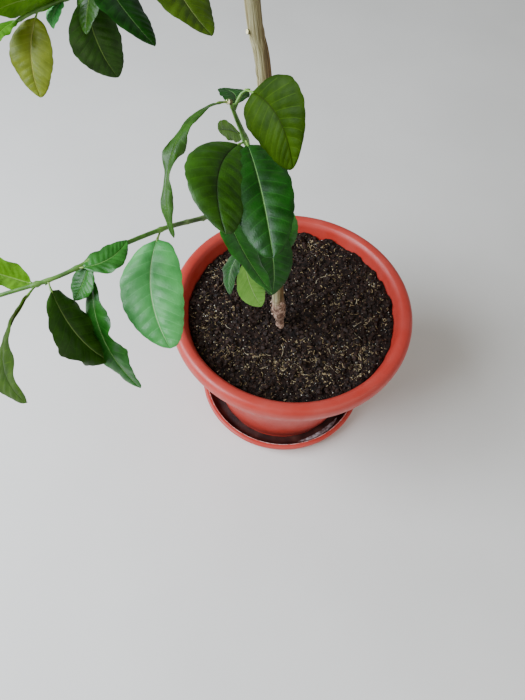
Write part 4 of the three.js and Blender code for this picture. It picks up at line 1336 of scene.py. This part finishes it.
# Side veins of a leaf, the rows of points from one vein to the next, and the columns from its midrib
# to its margin, for the leaves near the eye, the crown's own and the small ones between them
DETAIL = {
    "near": (10, (-0.035, 0.035, 0.27, 0.5, 0.73), (0, 0.02, 0.13, 0.3, 0.48, 0.66, 0.83, 0.94, 1)),
    "crown": (8, (-0.045, 0.045, 0.5), (0, 0.05, 0.25, 0.52, 0.8, 1)),
    "small": (6, (-0.06, 0.06, 0.5), (0, 0.06, 0.4, 0.75, 1)),
}
LEAF_GROUPS = {
    "leaves_low": ("low",), "leaves_side": ("side",), "leaves_left": ("left",),
    "leaves_crown_1": ("crown_1", "crown_2"), "leaves_crown_2": ("crown_3", "crown_4"),
    "leaves_crown_3": ("crown_5", "crown_6"), "leaves_crown_4": ("crown_7", "crown_8"),
    "leaves_crown_5": ("top",),
}


def blade_layout(veins, steps, columns):
    """What every leaf of one detail shares: its points' places, and its faces with their kinds. A
    ring of points goes round the blade, under it from its right margin and back over it."""
    rows = [((i + s) / veins, s % 1) for i in range(veins) for s in steps if i + s > 0.1]
    rows = [(0, 0)] + rows + [(1, 0)]
    v, between = np.array(rows, float).T
    half = np.array(columns)
    span = np.concatenate([half[::-1], -half[1:]])
    u = np.concatenate([span, span[-2:0:-1]])
    upper = np.concatenate([-np.ones(len(span)), np.ones(len(span) - 2)])
    upper[[0, len(span) - 1]] = 0
    rows, count = len(v), len(u)
    middle, on_top = np.abs(u + np.roll(u, -1)) / 2, upper + np.roll(upper, -1) > 0
    on_vein = ((between[:-1] > 0.9) & (between[1:] < 0.1))[:, None] & (middle < 0.85)
    kinds = np.where(on_top, np.where(on_vein, VEIN, OVER), UNDER)
    kinds = np.where(middle < columns[1], RIB, kinds).ravel().tolist()
    caps = [tuple(reversed(range(count))), tuple(range((rows - 1) * count, rows * count))]
    return SimpleNamespace(v=v[:, None], between=between[:, None], u=u[None], upper=upper[None],
                           faces=quads(rows, count) + caps, kinds=kinds + [UNDER, UNDER])


def blade_mesh(leaf, layout, chance):
    """A leaf's blade: its rows follow the side veins, which lead forward toward the margin."""
    size = np.abs(layout.u)
    lead = VEIN_LEAD * leaf.width / 2 / leaf.length
    s = layout.v + lead * size * np.sin(np.pi * layout.v)
    t = STALK + (1 - STALK) * s
    centre, normal, side = leaf_frame(leaf, t)
    offsets = chance.uniform(0, 6.28, 5)
    torn = sum(np.maximum(np.sin(n * s + offset + layout.u), 0.3) - 0.3 for n, offset in
               zip(TEAR_WAVES, offsets)) * leaf.tear * size ** 3 / (leaf.width / 2)
    scallop = SCALLOP * (1 - np.sin(np.pi * layout.between)) * (size > 0.98)
    half = half_width(leaf, t, leaf.skew, leaf.blunt) * (1 - scallop - torn)
    half = np.maximum(half, 0.9 - 0.65 * layout.v)
    curl = math.radians(leaf.curl)
    out = half * (math.sin(FOLD) - np.sin(FOLD - curl * size)) / curl
    rise = half * (np.cos(FOLD - curl * size) - math.cos(FOLD)) / curl
    puffed = PUFF * leaf.width * np.sin(np.pi * layout.between) ** 2 * np.sin(np.pi * size ** 0.8)
    sway = sum(
        np.sin(n * s + offset + 1.3 * np.sign(layout.u)) for n, offset in zip(MARGIN_WAVES, offsets[3:]))
    sway = sway * leaf.wave / 1.4 * size ** 2 * np.sin(np.pi * np.clip(s, 0, 1)) ** 0.5
    groove = np.where(size < 0.01, np.where(layout.upper > 0, GROOVE, KEEL), 0)
    lift = rise + puffed + sway + layout.upper * BLADE_THICKNESS / 2 - groove
    points = centre + side * (np.sign(layout.u) * out)[..., None] + normal * lift[..., None]
    return points.reshape(-1, 3)


def leaf_face(name, shades, roughness, ior, net):
    """The skin of a citrus leaf: a waxy cuticle with a clear but broken shine, over a fine net of
    veins about 2.5 mm across."""
    finish = new_finish(name, ior=ior)
    mottle(finish, 14, 4, [(0.35, shades[0]), (0.65, shades[1])])
    vary_gloss(finish, finish.place, 8, 5, roughness - 0.07, roughness + 0.1)
    cells = add_node(finish.tree, "ShaderNodeTexVoronoi", {
        "Vector": finish.place, "Scale": 1 / (2.5 * MM)}, feature="DISTANCE_TO_EDGE")
    add_node(finish.tree, "ShaderNodeBump", {
        "Height": cells.outputs["Distance"], "Distance": net * MM, "Strength": 0.5},
        {"Normal": finish.shader["Normal"]})
    return finish.material


leaf_finishes = {}
for tint, (over, rib, vein, under, roughness, ior) in LEAF_TINTS.items():
    # In the order of OVER, RIB, VEIN and UNDER
    leaf_finishes[tint] = [
        leaf_face(f"{tint} waxy upper leaf", over, roughness, ior, 0.35),
        leaf_face(f"{tint} midrib", (rib, rib), roughness + 0.1, ior, 0.1),
        leaf_face(f"{tint} side vein", (over[1], vein), roughness + 0.02, ior, 0.2),
        leaf_face(f"{tint} dull under leaf", under, 0.6, ior, 0.6),
    ]
layouts = {detail: blade_layout(*values) for detail, values in DETAIL.items()}
for n, (name, members) in enumerate(LEAF_GROUPS.items()):
    chance = np.random.default_rng(90 + n)
    parts, face_finish = [], []
    grown = [leaf for shoot in shoots if shoot.name in members for leaf in shoot.leaves]
    tints = [tint for tint in LEAF_TINTS if any(leaf.tint == tint for leaf in grown)]
    for leaf in grown:
        detail = "near" if members[0] in ("low", "side", "left") else "crown" if leaf.length > 80 else "small"
        layout = layouts[detail]
        parts.append((blade_mesh(leaf, layout, chance), layout.faces))
        face_finish += [4 * tints.index(leaf.tint) + kind for kind in layout.kinds]
    finishes = [finish for tint in tints for finish in leaf_finishes[tint]]
    leaves = make_piece(name, *join(parts), finishes, face_finish, crease=50)
    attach(leaves, "root")
    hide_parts(*[f"foliage_{member}" for member in members])


# Floor
# A plain pale floor of painted board, only there to stand the tree on, and wide enough that no view
# shows its edge near the tree.

FLOOR_HALF = 30000


def matt_floor():
    """Painted board: pale, matt and very faintly uneven."""
    finish = new_finish("pale matt floor", roughness=0.8)
    mottle(finish, 250, 3, [(0.3, "#D9D5CE"), (0.7, "#DEDAD3")])
    return finish.material


floor_corners = [(x * FLOOR_HALF, y * FLOOR_HALF, -0.2) for x, y in ((-1, -1), (1, -1), (1, 1), (-1, 1))]
make_piece("floor", floor_corners, [(0, 1, 2, 3)], [matt_floor()])


# Light
# Soft daylight from a large window on the left and a little in front, low enough to reach under the
# crown, and a pale room all round.


def add_soft_light(name, place, aim, size, watts, colour):
    """A glowing rectangle at a place in metres, turned to face a point."""
    light = bpy.data.lights.new(name, "AREA")
    light.shape = "RECTANGLE"
    light.size, light.size_y = size
    light.energy = watts
    light.color = linear(colour)[:3]
    lamp = bpy.data.objects.new(name, light)
    turn = (Vector(aim) - Vector(place)).to_track_quat("-Z", "Y")
    lamp.matrix_world = Matrix.Translation(place) @ turn.to_matrix().to_4x4()
    bpy.context.scene.collection.objects.link(lamp)


add_soft_light("window", (-2.1, -0.5, 2.0), (0, 0, 0.5), (2.2, 1.8), 200, "#E8F2FF")
add_soft_light("room fill", (1.8, -2.2, 2.2), (0, 0, 0.5), (2.5, 2.5), 32, "#FFF4E6")

world = bpy.data.worlds.new("pale room")
world.use_nodes = True
world.node_tree.nodes["Background"].inputs["Color"].default_value = linear("#E9EEF0")
world.node_tree.nodes["Background"].inputs["Strength"].default_value = 0.45
bpy.context.scene.world = world


# Camera
# A little above a standing viewer's waist, close to the tree and looking steeply down past the crown's
# edge. Its place, in metres, and directions were worked out from the circles of the pot and saucer.

EYE = (-0.086, -0.530, 1.033)
LOOK_AHEAD = (0.040, 0.506, -0.862)
LOOK_RIGHT = (0.999, -0.015, 0.037)
LOOK_UP = (-0.0058, 0.8625, 0.5060)

lens = bpy.data.cameras.new("viewer")
lens.lens = 27.6
lens.sensor_width = 36
lens.clip_start = 0.02
viewer = bpy.data.objects.new("viewer", lens)
viewer.matrix_world = Matrix(
    [(LOOK_RIGHT[i], LOOK_UP[i], -LOOK_AHEAD[i], EYE[i]) for i in range(3)] + [(0, 0, 0, 1)])
bpy.context.scene.collection.objects.link(viewer)
bpy.context.scene.camera = viewer
